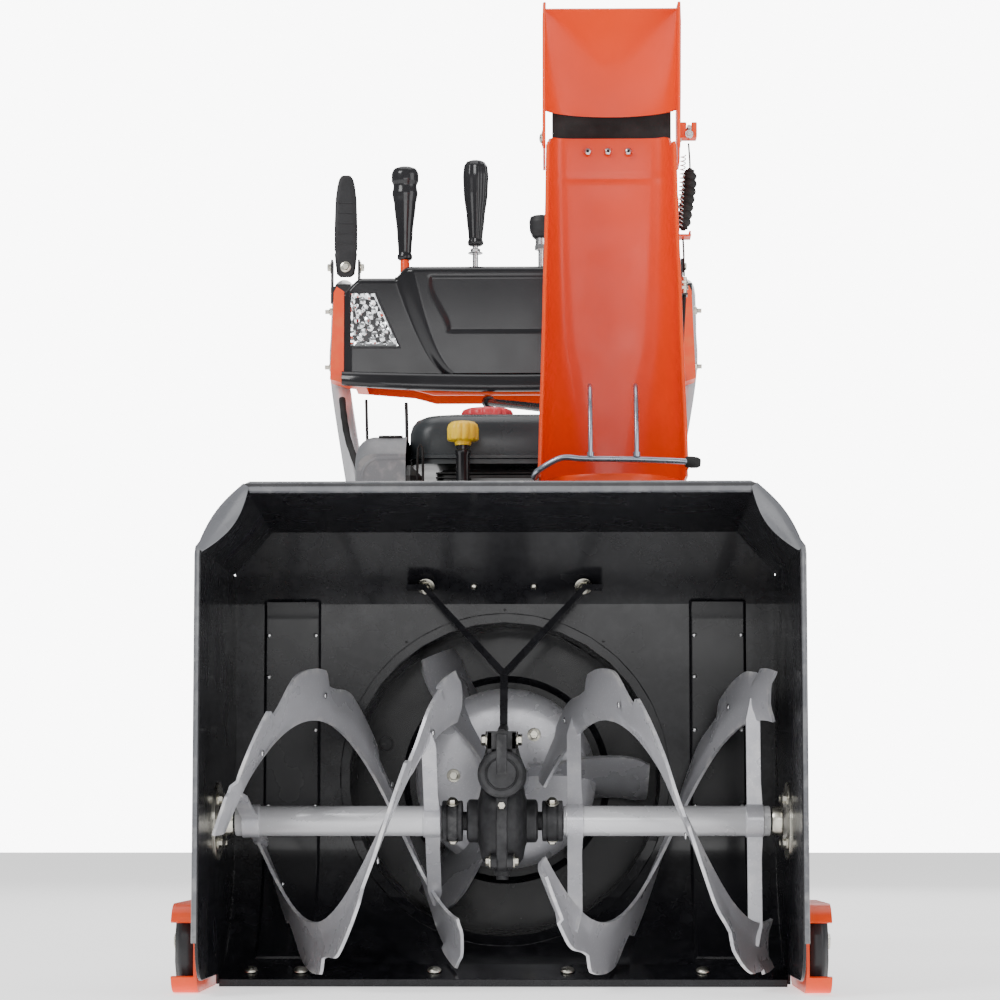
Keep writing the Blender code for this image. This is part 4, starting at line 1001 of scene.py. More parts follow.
# wire guard round the foot of the chute, with a black knob on its end
bm = bmesh.new()
main = smooth([(34, 356, 569), (34, 332, 569), (40, 313, 573), (64, 306, 585), (90, 305, 584),
               (150, 305, 583), (200, 306, 581), (214, 311, 580)], 4)
add_tube(bm, [tuple(p) for p in main], 3.5, 18)
for x in (97, 149):
    add_tube(bm, [tuple(p) for p in smooth([(x, 305.5, 583), (x, 307, 612), (x, 318, 645), (x, 336, 670),
                                            (x, 352, 674)], 5)], 2.7, 14)
    add_turned(bm, [(0, 0), (4.2, 0), (4.2, 5), (0, 5)], P(x, 305.5, 586.5), (0, 0, 1), 18)
new("guard_wire", bm, "guard", "chute_turret", rep=("chute_guard",))
bm = bmesh.new()
add_turned(bm, [(0, -4), (5.4, -4), (6.6, -2), (6.8, 3), (6.2, 10), (4.4, 13), (0, 13.6)],
           P(208, 309.6, 580.6), (1, 0.12, -0.05), 28)
new("guard_knob", bm, "rubber", "chute_turret")

# ------------------------------------------------------------------ augers
def helix(side, x):
    x = abs(x)
    return 90 - (x - 33) * 90 / 82 if side < 0 else 90 - (x - 105) * 90 / 83


def teeth(t):
    f = (t * 5.0) % 1.0
    if t < 0.06 or t > 0.94:
        return 162.5
    return 147 + 15.5 * (sstep(0.0, 0.05, f) - sstep(0.55, 0.95, f))


for s, side, x0 in ((-1, "left", 45), (1, "right", 41)):
    bm = bmesh.new()
    N = 150
    for turn in (0, 180):
        grid = []
        for i in range(N + 1):
            t = i / N
            x = lerp(x0, 284, t)
            a = math.radians(helix(s, x) + turn)
            ro = teeth(t)
            row = []
            for k in range(10):
                q = k / 9
                r = lerp(107, ro, q)
                dx = 3.6 * (1 - sstep(0.0, 0.32, q)) - 1.4 * math.sin(math.pi * q) \
                    + (5.5 * sstep(0.72, 1.0, q) if (t < 0.07 or t > 0.93) else 0)
                row.append(P(s * (x + dx - 1.5), AD - r * math.cos(a), AZ + r * math.sin(a)))
            grid.append(row)
        add_sheet(bm, grid, 3.4, flip=(s > 0))
    new("auger_ribbons_" + side, bm, "silver_paint", "auger", angle=32,
        rep=("auger_" + side,))
    # support bars
    bm = bmesh.new()
    for xb in (75 if s < 0 else 77, 268):
        a = math.radians(helix(s, xb))
        v = V((0, -math.cos(a), math.sin(a)))
        m = V((1, 0, 0)).cross(v)
        place = Matrix((V((1, 0, 0)), v, m)).transposed().to_4x4()
        place.translation = P(s * xb, AD, AZ)
        prof = [(-3, -131), (2, -133), (7.4, -112), (7.4, -40), (8.6, -20), (8.6, 20), (7.4, 40),
                (7.4, 112), (3, 133), (-2, 131), (-8, 108), (-8, -108)]
        add_plate(bm, prof, place, 4.6)
        add_cyl(bm, P(s * (xb - 9.5), AD, AZ), P(s * (xb + 9.5), AD, AZ), 17.6, 40)
    new("auger_bars_" + side, bm, "silver_paint", "auger", bevel=1.0)
    bm = bmesh.new()
    add_turned(bm, [(10.4, 64.6), (15.2, 64.6), (16, 65.6), (16, 283), (15.2, 284.4), (10.4, 284.4)],
               P(0, AD, AZ), (s, 0, 0), 56, closed=True)
    new("auger_tube_" + side, bm, "tube_paint", "auger")
    bm = bmesh.new()
    for turn in (0, 180):
        for t in (0.13, 0.36, 0.63, 0.86):
            x = lerp(x0, 284, t)
            a = math.radians(helix(s, x) + turn)
            r = 134
            at = P(s * (x - 5.4), AD - r * math.cos(a), AZ + r * math.sin(a))
            add_dome(bm, at, (-s, 0, 0), 3.6, 1.8, 14)
    new("auger_rivets_" + side, bm, "steel", "auger")

# auger shaft with the sleeves and their shear bolts
bm = bmesh.new()
prof = [(0, -302), (8.6, -302), (10, -300.5), (10, -64.3)]
for sg in (-1, 1):
    h = [42.3, 43.4, 46.5, 46.5, 48.5, 48.5, 57.5, 57.5, 59.5, 59.5, 63.2, 64.2]
    rr = [20.6, 21.8, 21.8, 19.6, 19.6, 21.4, 21.4, 19.8, 19.8, 21.8, 21.8, 20.6]
    seq = list(zip(rr, h)) if sg > 0 else [(r, -q) for r, q in zip(rr, h)][::-1]
    if sg < 0:
        prof += seq + [(10, -42), (10, 42)]
    else:
        prof += seq
prof += [(10, 64.5), (10, 300.5), (8.6, 302), (0, 302)]
add_turned(bm, prof, P(0, AD, AZ), (1, 0, 0), 48)
new("auger_core", bm, "cast", "auger", rep=("auger_shaft",))
bm = bmesh.new()
for s in (-1, 1):
    for a in (62, -118):
        v = V((0, -math.cos(math.radians(a)), math.sin(math.radians(a))))
        add_hex(bm, P(s * 53, AD, AZ) + v * 21.0 * MM, v, 4.9, 4.2)
new("shear_bolts", bm, "zinc", "auger")

# bearing flanges inside the walls
bm = bmesh.new()
for s in (-1, 1):
    add_turned(bm, [(10.8, 8.2), (15, 8.6), (17, 7.6), (22, 1.4), (27, 0.6), (31, 3.8), (36, 5.2), (40, 5.4),
                    (41.5, 6.4), (41.5, 7.8), (24, 7.8), (18, 4.0), (12, 3.0), (10.8, 3.4)],
               P(s * 296, AD, AZ), (s, 0, 0), 64, closed=True)
    for k in range(4):
        a = math.radians(45 + 90 * k)
        add_hex(bm, P(s * 301.0, AD + 33 * math.cos(a), AZ + 33 * math.sin(a)), (-s, 0, 0), 4.6, 3.6)
    add_turned(bm, [(11, -1), (14.5, -1), (15.5, 1), (15.5, 9), (11, 9)], P(s * 287.5, AD, AZ), (s, 0, 0),
               40, closed=True)
new("bearing_flanges", bm, "zinc", BODY, rep=("bearing_flange_left", "bearing_flange_right"))

# ------------------------------------------------------------------ auger gearbox
bm = bmesh.new()
prof = [(0, -37.8), (19, -37.8), (22.5, -36), (23, -34), (23, -26), (27, -24.5), (40, -22), (45, -18),
        (49, -13), (50, -8), (50.5, -6.2), (54.5, -5.6), (54.5, -0.7), (53.6, -0.4), (53.6, 0.4), (54.5, 0.7),
        (54.5, 5.6), (50.5, 6.2), (50, 8), (49, 13), (45, 18), (40, 22), (27, 24.5), (23, 26), (23, 34),
        (22.5, 36), (19, 37.8), (0, 37.8)]
add_turned(bm, prof, P(0, AD, AZ), (1, 0, 0), 72)
new("gearbox_case", bm, "cast", BODY, rep=("gearbox_case_left", "gearbox_case_right"), angle=30)
bm = bmesh.new()
add_turned(bm, [(0, 106), (15, 106), (15.6, 107), (15.6, 109), (17.5, 109), (17.5, 107.2), (22, 107.2),
                (24.4, 109), (25.4, 113), (25.4, 200), (23, 215), (22, 284), (20, 287), (0, 287)],
           P(0, 0, IZ), (0, 1, 0), 56)
add_loft(bm, [[P(x, d, z) for x, d in ((-w, 146), (w, 146), (w, 205), (-w, 205))]
              for w, z in ((22, 210), (23, 236), (18.5, 248), (15, 262), (14, 268))])
for s in (-1, 1):
    for a in (48, 130, 228, 310):
        c, sn = math.cos(math.radians(a)), math.sin(math.radians(a))
        add_cyl(bm, P(s * 5.2, AD - 55 * c, AZ + 55 * sn), P(s * 12.0, AD - 55 * c, AZ + 55 * sn), 7.2, 28)
add_turned(bm, [(0, -1), (9, -1), (9, 5), (6.5, 6), (6.5, 10), (0, 10)], P(0, 150, AZ - 52), (0, 0, -1), 28)
new("gearbox_worm_house", bm, "cast", BODY, bevel=1.4)
# rib down the front between the two halves
bm = bmesh.new()
rib = [(110 - 4.5 * math.sin(0), 262)]
out = [(AD - 58.5 * math.cos(math.radians(a)), AZ + 58.5 * math.sin(math.radians(a)))
       for a in range(38, -71, -4)]
inn = [(AD - 51 * math.cos(math.radians(a)), AZ + 51 * math.sin(math.radians(a)))
       for a in range(-68, 39, 4)]
front = [(105.4, 268), (105.2, 226)] + out
add_plate(bm, front + inn + [(128, 240), (134, 268)], side_place(0), 11.6)
new("gearbox_rib", bm, "cast", BODY, bevel=1.2)
bm = bmesh.new()
for a in (48, 130, 228, 310):
    c, sn = math.cos(math.radians(a)), math.sin(math.radians(a))
    add_hex(bm, P(-12.0, AD - 55 * c, AZ + 55 * sn), (-1, 0, 0), 5.0, 4.2)
    add_hex(bm, P(12.0, AD - 55 * c, AZ + 55 * sn), (1, 0, 0), 5.0, 4.2)
add_cyl(bm, P(-17, 124, 262), P(17, 124, 262), 4.2, 24)
add_hex(bm, P(-15.5, 124, 262), (-1, 0, 0), 6.0, 5.0)
add_hex(bm, P(15.5, 124, 262), (1, 0, 0), 6.0, 4.6)
add_hex(bm, P(0, 104.9, 193), (0, -1, 0), 4.2, 3.0, washer=False)
new("gearbox_bolts", bm, "zinc", BODY)
# clamp that ties the brace to the gearbox
bm = bmesh.new()
add_box(bm, -15, -10.5, 114, 134, 240, 270)
add_box(bm, 10.5, 15, 114, 134, 240, 270)
add_box(bm, -15, 15, 114, 119, 252, 271)
add_cyl(bm, P(0, 118, 268), P(0, 240, 278), 5.5, 24)
new("gearbox_clamp", bm, "cast", BODY, bevel=1.0)

# ------------------------------------------------------------------ impeller with its pitched, cupped paddles
IP = P(0, 400, IZ)
bm = bmesh.new()
add_turned(bm, [(10.8, 378), (20, 378), (24, 381), (26, 388), (26, 448), (24, 451.5), (10.8, 451.5)],
           P(0, 0, IZ), (0, 1, 0), 48, closed=True)
add_turned(bm, [(24, 402), (24, 397.5), (48, 394), (74, 393.5), (94, 397), (101, 401), (104, 406),
                (102, 407.5), (98, 404), (90, 400.4), (74, 397.4), (48, 398)],
           P(0, 0, IZ), (0, 1, 0), 96, closed=True)
new("impeller_disc", bm, "silver_paint", "impeller_rotor", rep=("impeller",))
bm = bmesh.new()
yv = V((0, 1, 0))
for k in range(3):
    a = math.radians(117 - 120 * k)
    v = V((math.cos(a), 0, math.sin(a)))
    n = V((-math.sin(a), 0, math.cos(a)))
    p = math.radians(30)
    w = yv * math.cos(p) - n * math.sin(p)
    m = n * math.cos(p) + yv * math.sin(p)
    grid = []
    for i in range(33):
        t = i / 32
        r = lerp(24, 164 if t < 1 else 164, t)
        row = []
        for j in range(21):
            q = j / 20 * 2 - 1
            half = lerp(30, 45, sstep(0.0, 0.55, t)) - 7 * sstep(0.9, 1.0, t)
            cup = 9.0 * q * q * sstep(0.1, 0.8, t) - 4.0 * sstep(0.75, 1.0, t)
            row.append(P(0, 404, IZ) + v * r * MM + w * q * half * MM + m * cup * MM)
        grid.append(row)
    add_sheet(bm, grid, 3.6)
new("impeller_paddles", bm, "silver_paint", "impeller_rotor", angle=40)
bm = bmesh.new()
for k in range(3):
    a = math.radians(57 - 120 * k)
    at = P(60 * math.cos(a), 394.6, IZ + 60 * math.sin(a))
    add_hex(bm, at, (0, -1, 0), 5.2, 4.2)
new("impeller_bolts", bm, "zinc", "impeller_rotor")

# ------------------------------------------------------------------ impeller drum
bm = bmesh.new()
grid = []
add_turned(bm, [(176.2, 355), (185.5, 355), (185.5, 471), (183.5, 473), (60, 473), (13, 473), (13, 470.2),
                (176.2, 470.2)], P(0, 0, IZ), (0, 1, 0), 128, closed=True)
new("drum_back", bm, "black_paint", BODY, angle=30)
bm = bmesh.new()
for r, h in ((70, 469.6), (118, 469.6)):
    add_turned(bm, [(r - 4, h), (r, h - 2.2), (r + 4, h)], P(0, 0, IZ), (0, 1, 0), 96, closed=True)
add_turned(bm, [(13, 469.8), (34, 469.8), (33, 464), (20, 461), (13, 461)], P(0, 0, IZ), (0, 1, 0), 48, closed=True)
add_turned(bm, [(184.0, 339.5), (193, 336.5), (193, 343), (186, 346), (184, 352)],
           P(0, 0, IZ), (0, 1, 0), 128, closed=True)
new("drum_ribs", bm, "black_paint", BODY, angle=30)
bm = bmesh.new()
for x, z in ((-142, 268), (74, 270), (75, 140), (-75, 140)):
    add_turned(bm, [(0, 0), (8, 0), (8.4, 0.6), (8, 2.2), (5, 2.8), (0, 2.8)], P(x, 470, z), (0, -1, 0), 28)
    add_box(bm, x - 5, x + 5, 466.4, 467.4, z - 1.2, z + 1.2)
for k in range(10):
    a = math.radians(18 + 36 * k)
    add_dome(bm, P(189.5 * math.cos(a), 336.4, IZ + 189.5 * math.sin(a)), (0, -1, 0), 2.4, 1.3, 12)
new("drum_fasteners", bm, "cast", BODY)

# ------------------------------------------------------------------ dash
def shell_depth(x, z):
    """Relief of the console's face: raised middle with a soft shoulder that runs down and inwards."""
    ax = abs(x)
    zt = (z - 800) / 151
    e = lerp(88, 168, max(0.0, min(1.0, zt)) ** 0.62)
    wdt = lerp(10, 30, max(0.0, min(1.0, zt)))
    rise = 9.5 * (1 - sstep(e - wdt, e + 2, ax))
    # pressed panel in the middle of the face
    pan = sstep(0, 6, 92 + 26 * sstep(860, 930, z) - ax) * sstep(858, 862, z) * (1 - sstep(936, 940, z))
    edge = 3.2 * sstep(226, 236, ax) + 2.5 * sstep(0, 1, 0)
    return 1046.6 - rise + 1.3 * pan + edge


def face_top(x):
    ax = abs(x)
    return 951 - 14.5 * sstep(146, 166, ax) - 19 * sstep(212, 237, ax)


bm = bmesh.new()
grid = []
for i in range(97):
    row = []
    for j in range(221):
        x = lerp(-236.5, 236.5, j / 220)
        z = lerp(801, face_top(x), i / 96)
        y = shell_depth(x, z)
        k = i / 96
        y += 9.0 * sstep(0.965, 1.0, k) ** 2
        row.append(P(x, y, z))
    grid.append(row)
add_sheet(bm, grid, 3.0, flip=True)
new("console_face", bm, "gloss_plastic", BODY, angle=45)
bm = bmesh.new()
rings = []
for j in range(81):
    x = lerp(-239, 239, j / 80)
    e = (x / 239)
    zc = 793 - 5.5 * math.cos(e * math.pi / 2) + 3 * abs(e) ** 6
    hh = 12.5 - 2.5 * abs(e) ** 3
    d0 = 1037.5 + 7.5 * abs(e) ** 8
    ring = []
    for k in range(20):
        a = 2 * math.pi * k / 20
        c, sn = math.cos(a), math.sin(a)
        ring.append(P(x, d0 + 7.5 * math.copysign(abs(c) ** 0.7, c) * (1 - 0.35 * sn),
                      zc + hh * math.copysign(abs(sn) ** 0.75, sn)))
    rings.append(ring)
add_loft(bm, rings)
new("console_bumper", bm, "gloss_plastic", BODY, angle=50)

# headlights: bezel, faceted reflector and lamp cups
for s, side in ((-1, "left"), (1, "right")):
    bm = bmesh.new()
    grid = []
    for i in range(29):
        t = i / 28
        row = []
        for j in range(25):
            q = j / 24
            xo = 228 - 1.0
            xi = lerp(159.5, 193, t)
            x = lerp(xo, xi, q)
            z = lerp(841, 915.5, t)
            f = math.sin(x * 0.42 + 1.3 * math.sin(z * 0.21)) * math.sin(z * 0.36 + 0.9 * math.sin(x * 0.17))
            edge = min(q, 1 - q, t, 1 - t)
            y = 1045.2 + 2.6 * f * sstep(0, 0.1, edge) - 1.6 * (1 - sstep(0, 0.08, edge))
            row.append(P(s * x, y, z))
        grid.append(row)
    add_sheet(bm, grid, 1.6, flip=(s < 0))
    new("lamp_reflector_" + side, bm, "reflector", BODY, angle=14, rep=("headlight_" + side,))
    bm = bmesh.new()
    pts = [(228.6, 839), (157.6, 839), (192, 917.4), (228.6, 917.4)]
    ctr = (205, 876)
    rings = []
    for gx, d in ((1.0, 1046.5), (1.035, 1046.0), (1.04, 1043.4), (1.0, 1042.8), (0.985, 1044.5)):
        rings.append([(ctr[0] + (x - ctr[0]) * gx, ctr[1] + (z - ctr[1]) * gx, d) for x, z in pts])
    n = len(rings)
    vs = [[bm.verts.new(P(s * x, d, z)) for x, z, d in r] for r in rings]
    for a, b in zip(vs, vs[1:] + vs[:1]):
        for i in range(4):
            j = (i + 1) % 4
            bm.faces.new((a[i], a[j], b[j], b[i]))
    new("lamp_bezel_" + side, bm, "gloss_plastic", BODY, bevel=0.8)
    bm = bmesh.new()
    for x, z, r in ((207, 858, 12), (184, 856, 9), (210, 890, 9.5)):
        add_turned(bm, [(r, -1.4), (r * 0.9, 0.2), (r * 0.5, 2.4), (r * 0.2, 3.0), (r * 0.2, -1.0), (0, -2.0),
                        (0, 5), (r, 5)], P(s * x, 1044.2, z), (0, 1, 0), 32)
    new("lamp_cups_" + side, bm, "reflector", BODY, angle=20)

# screws and lever gates on the console's top
bm = bmesh.new()
for s in (-1, 1):
    add_dome(bm, P(s * 218, 1062, 934.5), (0, 0, 1), 4.2, 2.2, 18)
    add_dome(bm, P(s * 218, 1112, 934.5), (0, 0, 1), 4.2, 2.2, 18)
    for z in (822, 902):
        add_hex(bm, P(s * 256.4, 1110, z), (s, 0, 0), 5.4, 4.4)
        add_cyl(bm, P(s * 262, 1110, z), P(s * 268, 1110, z), 3.2, 18)
new("console_screws", bm, "zinc", BODY)
bm = bmesh.new()
for x, hx, hd in ((-153, 8, 28), (-53, 32, 9), (40, 8, 28)):
    z = 937.6 if x == -153 else 951.6
    for sx in (-1, 1):
        add_box(bm, x + sx * (hx + 2.5) - 2, x + sx * (hx + 2.5) + 2, 1082 - hd - 4, 1082 + hd + 4, z - 0.8, z + 2.6)
    for sd in (-1, 1):
        add_box(bm, x - hx - 4, x + hx + 4, 1082 + sd * (hd + 2.5) - 2, 1082 + sd * (hd + 2.5) + 2, z - 0.8, z + 2.6)
new("lever_gates", bm, "black_plastic", BODY, bevel=0.8)
bm = bmesh.new()
for x in (-200, -100, 0, 100, 200):
    add_box(bm, x - 1.6, x + 1.6, 1130.2, 1132.4, 815, 915)
for z in (815, 915):
    add_box(bm, -202, 202, 1130.2, 1132.0, z - 1.6, z + 1.6)
new("console_rear_ribs", bm, "black_plastic", BODY, bevel=0.6)


# levers
def grip_piece(name, x, d, prof, body, rep, mat, flat=0.78, ridge=0.0, nr=6, n=48):
    bm = bmesh.new()
    rings = []
    for z, w in prof:
        ring = []
        for k in range(n):
            a = 2 * math.pi * k / n
            r = w / 2 * (1 + ridge * math.cos(nr * a))
            ring.append(P(x + r * math.cos(a), d + r * flat * math.sin(a), z))
        rings.append(ring)
    add_loft(bm, rings)
    return new(name, bm, mat, body, rep=rep, angle=50)


def prof_of(pts, n=60):
    out = []
    z0, z1 = pts[0][0], pts[-1][0]
    for i in range(n + 1):
        z = lerp(z0, z1, i / n)
        for (a, wa), (b, wb) in zip(pts, pts[1:]):
            if z <= b + 1e-9:
                out.append((z, lerp(wa, wb, sstep(a, b, z) * 0.5 + 0.5 * (z - a) / (b - a))))
                break
    return out


grip_piece("shift_grip", -153, 1080,
           prof_of([(970, 17), (972, 21), (977, 21.5), (979, 18.5), (1010, 22.5), (1050, 31), (1066, 36.5), (1073, 34),
                    (1077, 33), (1084, 38.5), (1094, 38.5), (1101, 33), (1104, 18)]),
           "shifter", ("shift_lever",), "gloss_plastic", flat=0.72)
bm = bmesh.new()
add_turned(bm, [(0, 0), (6.6, 0), (6.6, 15), (5.4, 18), (0, 18)], P(-153, 1080, 953), (0, 0, 1), 28)
new("shift_stub", bm, "orange_paint", "shifter")
bm = bmesh.new()
for x, body in ((-153, "shifter"),):
    add_cyl(bm, P(x, 1080, 884), P(x, 1080, 956), 4.2, 20)
    add_turned(bm, [(6.4, -9), (11.4, -9), (12, -8), (12, 8), (11.4, 9), (6.4, 9)], P(x, 1080, 880), (1, 0, 0), 36,
               closed=True)
new("shift_rod", bm, "steel", "shifter")

grip_piece("chute_grip", -53, 1080,
           prof_of([(990, 16), (992, 21.5), (996, 22), (999, 19), (1030, 25), (1065, 33.5), (1090, 35.5), (1104, 33),
                    (1111, 25), (1113, 14)]),
           "chute_stick", ("chute_lever",), "gloss_plastic", flat=0.8, ridge=0.045, nr=9, n=90)
bm = bmesh.new()
add_cyl(bm, P(-53, 1080, 889), P(-53, 1080, 991), 4.0, 20)
add_hex(bm, P(-53, 1080, 979), (0, 0, 1), 7.0, 6, washer=True)
add_turned(bm, [(8.5, -9), (11.4, -9), (12, -8), (12, 8), (11.4, 9), (8.5, 9)], P(-53, 1080, 880), (1, 0, 0), 36,
           closed=True)
new("chute_lever_rod", bm, "steel", "chute_stick")

grip_piece("deflector_knob", 40, 1080,
           prof_of([(1000, 20), (1003, 26), (1012, 33), (1024, 34.5), (1031, 31), (1033, 22)], 30),
           "deflector_stick", ("deflector_lever",), "black_plastic", flat=0.85, ridge=0.02, nr=5, n=60)
bm = bmesh.new()
add_cyl(bm, P(40, 1080, 884), P(40, 1080, 985), 4.2, 20)
add_hex(bm, P(40, 1080, 984), (0, 0, 1), 9, 8, washer=False)
add_turned(bm, [(0, 0), (8, 0), (8, 10), (0, 10)], P(40, 1080, 991), (0, 0, 1), 24)
add_turned(bm, [(6.4, -9), (11.4, -9), (12, -8), (12, 8), (11.4, 9), (6.4, 9)], P(40, 1080, 880), (1, 0, 0), 36,
           closed=True)
new("deflector_lever_rod", bm, "steel", "deflector_stick")

# clutch levers over the grips
for s, side, xb in ((-1, "left", -244), (1, "right", 224)):
    bm = bmesh.new()
    rings = []
    for z, w, t in ((966, 16, 5), (970, 26, 6), (985, 30, 6.5), (1000, 33, 7), (1003, 31, 6), (1006, 33.5, 7.6),
                    (1040, 33.5, 8), (1080, 31, 8), (1100, 26, 7.6), (1110, 21, 7), (1115, 14, 5), (1116, 9, 3)):
        ring = []
        for k in range(32):
            a = 2 * math.pi * k / 32
            c, sn = math.cos(a), math.sin(a)
            ring.append(P(xb + w / 2 * math.copysign(abs(c) ** 0.55, c), 1180 + t / 2 * math.copysign(abs(sn) ** 0.6, sn), z))
        rings.append(ring)
    add_loft(bm, rings)
    for i in range(5):
        z = 1014 + i * 15
        add_box(bm, xb - 12 + i * 0.3, xb + 12 - i * 0.3, 1175.4, 1176.6, z, z + 2.4)
    new("clutch_blade_" + side, bm, "black_plastic", "clutch_" + side, rep=("clutch_lever_" + side,),
        angle=50, bevel=0.0)
    bm = bmesh.new()
    add_hex(bm, P(xb, 1176.2, 980), (0, -1, 0), 5.2, 4.0)
    new("clutch_bolt_" + side, bm, "zinc", "clutch_" + side)

# ------------------------------------------------------------------ handlebars
for s, side in ((-1, "left"), (1, "right")):
    path = smooth([(s * 164.6, 868, 306), (s * 167, 874, 340), (s * 172, 887, 400), (s * 209, 999.5, 600),
                   (s * 246, 1112, 800), (s * 249, 1146, 880), (s * 250, 1185, 935), (s * 250, 1230, 958),
                   (s * 250, 1310, 963.9), (s * 250, 1375, 963.9), (s * 250, 1435.0, 963.9)], 9)
    bm = bmesh.new()
    add_tube(bm, [tuple(p) for p in path], 13.6, 36)
    new("handlebar_tube_" + side, bm, "tube_paint", BODY, rep=("handlebar_" + side,))
    bm = bmesh.new()
    prof = [(14.2, 1322), (20.5, 1322), (21.3, 1324), (20.5, 1327)]
    for i in range(24):
        h = 1330 + i * 4.2
        prof += [(17.6, h), (18.9, h + 0.8), (18.9, h + 2.6), (17.6, h + 3.4)]
    prof += [(19, 1432), (19.6, 1436), (17.5, 1439.4), (0, 1440), (0, 1436.5), (14.2, 1436.2)]
    add_turned(bm, prof, P(s * 250, 0, 963.9), (0, 1, 0), 40, closed=True)
    new("hand_grip_" + side, bm, "rubber", BODY, rep=("grip_" + side,))
    # band clamp with its ear
    bm = bmesh.new()
    a, b = V((s * 204, 984, 572)), V((s * 211.5, 1006.8, 612.5))
    t = (b - a).normalized()
    at = P(*(a * 0.35 + b * 0.65))
    add_turned(bm, [(13.8, -8), (17.4, -8), (18, -6), (17, -2), (18, 1), (17, 4), (18, 7), (17.2, 8.5), (13.8, 8.5)],
               at, (t.x, t.y, t.z), 40, closed=True)
    add_box(bm, s * 206 - 24, s * 206 - 14, 978, 990, 588, 604)
    new("band_clamp_" + side, bm, "rubber", BODY, bevel=0.8)
    bm = bmesh.new()
    for z, d in ((322, 871), (376, 882)):
        add_hex(bm, P(s * (164 + (z - 306) * 0.08) + s * 13.2, d, z), (s, 0, 0), 6.5, 5)
    new("handlebar_bolts_" + side, bm, "zinc", BODY)

# ------------------------------------------------------------------ wiring and control cables
bm = bmesh.new()
path = smooth([(-240, 1066, 770), (-236, 1050, 742), (-228, 1030, 705), (-210, 1000, 655), (-200, 968, 615),
               (-186, 940, 580), (-172, 920, 552), (-146, 890, 470), (-120, 870, 412)], 6)
add_tube(bm, [tuple(p) for p in path], 4.6, 18, radius=lambda t: 4.6 + 0.25 * math.sin(t * 560))
new("harness_sleeve", bm, "rubber", BODY, rep=("wiring_harness",))
bm = bmesh.new()
add_box(bm, -197, -160, 916, 952, 540, 572)
add_box(bm, -201, -156, 922, 946, 572, 577)
new("harness_box", bm, "black_plastic", BODY, bevel=2.2)
bm = bmesh.new()
path = smooth([(-150, 1070, 764), (-144, 1015, 650), (-134, 968, 540), (-120, 930, 420), (-95, 905, 330)], 8)
add_tube(bm, [tuple(p) for p in path], 2.6, 12)
path = smooth([(-206, 1066, 768), (-203, 1040, 716), (-199, 1010, 660), (-195, 975, 600), (-186, 940, 566)], 8)
add_tube(bm, [tuple(p) for p in path], 2.2, 12)
new("throttle_cables", bm, "rubber", BODY, rep=("control_cable",))
bm = bmesh.new()
A, B = (-36, 1062, 764.5), (85, 549.5, 674)
add_tube(bm, [tuple(p) for p in smooth([A, tuple((V(A) + V(B)) / 2), B], 20)], 5.4, 24)
n = (V(B) - V(A)).normalized()
for q in (0.02, 0.96):
    c = V(A).lerp(V(B), q)
    add_turned(bm, [(5, -8), (8.2, -8), (8.6, -6), (8.6, 6), (8.2, 8), (5, 8)], P(*c), (n.x, n.y, n.z), 28, closed=True)
new("steering_rod", bm, "black_paint", "steering_rod", rep=("chute_rod",))

# brackets of the hand levers
bm = bmesh.new()
for s, xb in ((-1, -244), (1, 224)):
    for k in (-1, 1):
        add_box(bm, xb + k * 19.5 - 1.5, xb + k * 19.5 + 1.5, 1170, 1190, 930, 990)
    add_box(bm, xb - 21, xb + 21, 1168, 1173, 925, 950)
    add_box(bm, min(xb, s * 250) - 8, max(xb, s * 250) + 8, 1171, 1192, 928, 954)
    add_cyl(bm, P(xb - 21, 1180, 942), P(xb + 21, 1180, 942), 6, 24)
new("hand_lever_brackets", bm, "black_plastic", BODY, bevel=1.5)
bm = bmesh.new()
for xb in (-244, 224):
    for k in (-1, 1):
        add_hex(bm, P(xb + k * 21, 1180, 980), (k, 0, 0), 5.4, 4.4)
new("hand_lever_pins", bm, "zinc", BODY)

# ------------------------------------------------------------------ skid shoes
for s, side in ((-1, "left"), (1, "right")):
    bm = bmesh.new()
    web = ([(58, 62)] + arc(84, 26, 26, 180, 270, 12) + arc(224, 26, 26, -90, 0, 12) + [(250, 62)]
           + arc(224, 64, 28, 0, 90, 12) + arc(84, 64, 28, 90, 180, 12))
    add_plate(bm, web, side_place(s * 313.7), 3.4)
    foot = (arc(84, 26, 26, 200, 270, 12) + arc(224, 26, 26, -90, -20, 12)
            + arc(224, 26, 22.2, -20, -90, 12) + arc(84, 26, 22.2, 270, 200, 12))
    head = (arc(224, 64, 28, 20, 90, 12) + arc(84, 64, 28, 90, 160, 12)
            + arc(84, 64, 24.2, 160, 90, 12) + arc(224, 64, 24.2, 90, 20, 12))
    add_plate(bm, foot, side_place(s * 326.2), 25.4)
    add_plate(bm, head, side_place(s * 326.2), 25.4)
    for dd in (110, 200):
        add_cyl(bm, P(s * 307.2, dd, 52), P(s * 313, dd, 52), 9, 28)
    new("skid_" + side, bm, "orange_paint", BODY, rep=("skid_shoe_" + side,), angle=35, bevel=0.8)
    bm = bmesh.new()
    boat = [(66, 30), (78, 12), (96, 7), (212, 7), (230, 12), (242, 30), (243, 60), (230, 80), (212, 86), (96, 86),
            (78, 80), (66, 60)]
    rings = []
    for x, k in ((315.8, 0.96), (322, 1.0), (331, 0.98), (336.4, 0.9), (337.2, 0.82)):
        rings.append([P(s * x, 154.5 + (d - 154.5) * k, 46.5 + (z - 46.5) * k) for d, z in boat])
    add_loft(bm, rings)
    new("skid_insert_" + side, bm, "black_plastic", BODY, bevel=2.0)
    bm = bmesh.new()
    for dd in (110, 200):
        add_hex(bm, P(s * 336.8, dd, 52), (s, 0, 0), 8, 3.4)
    new("skid_bolts_" + side, bm, "zinc", BODY)

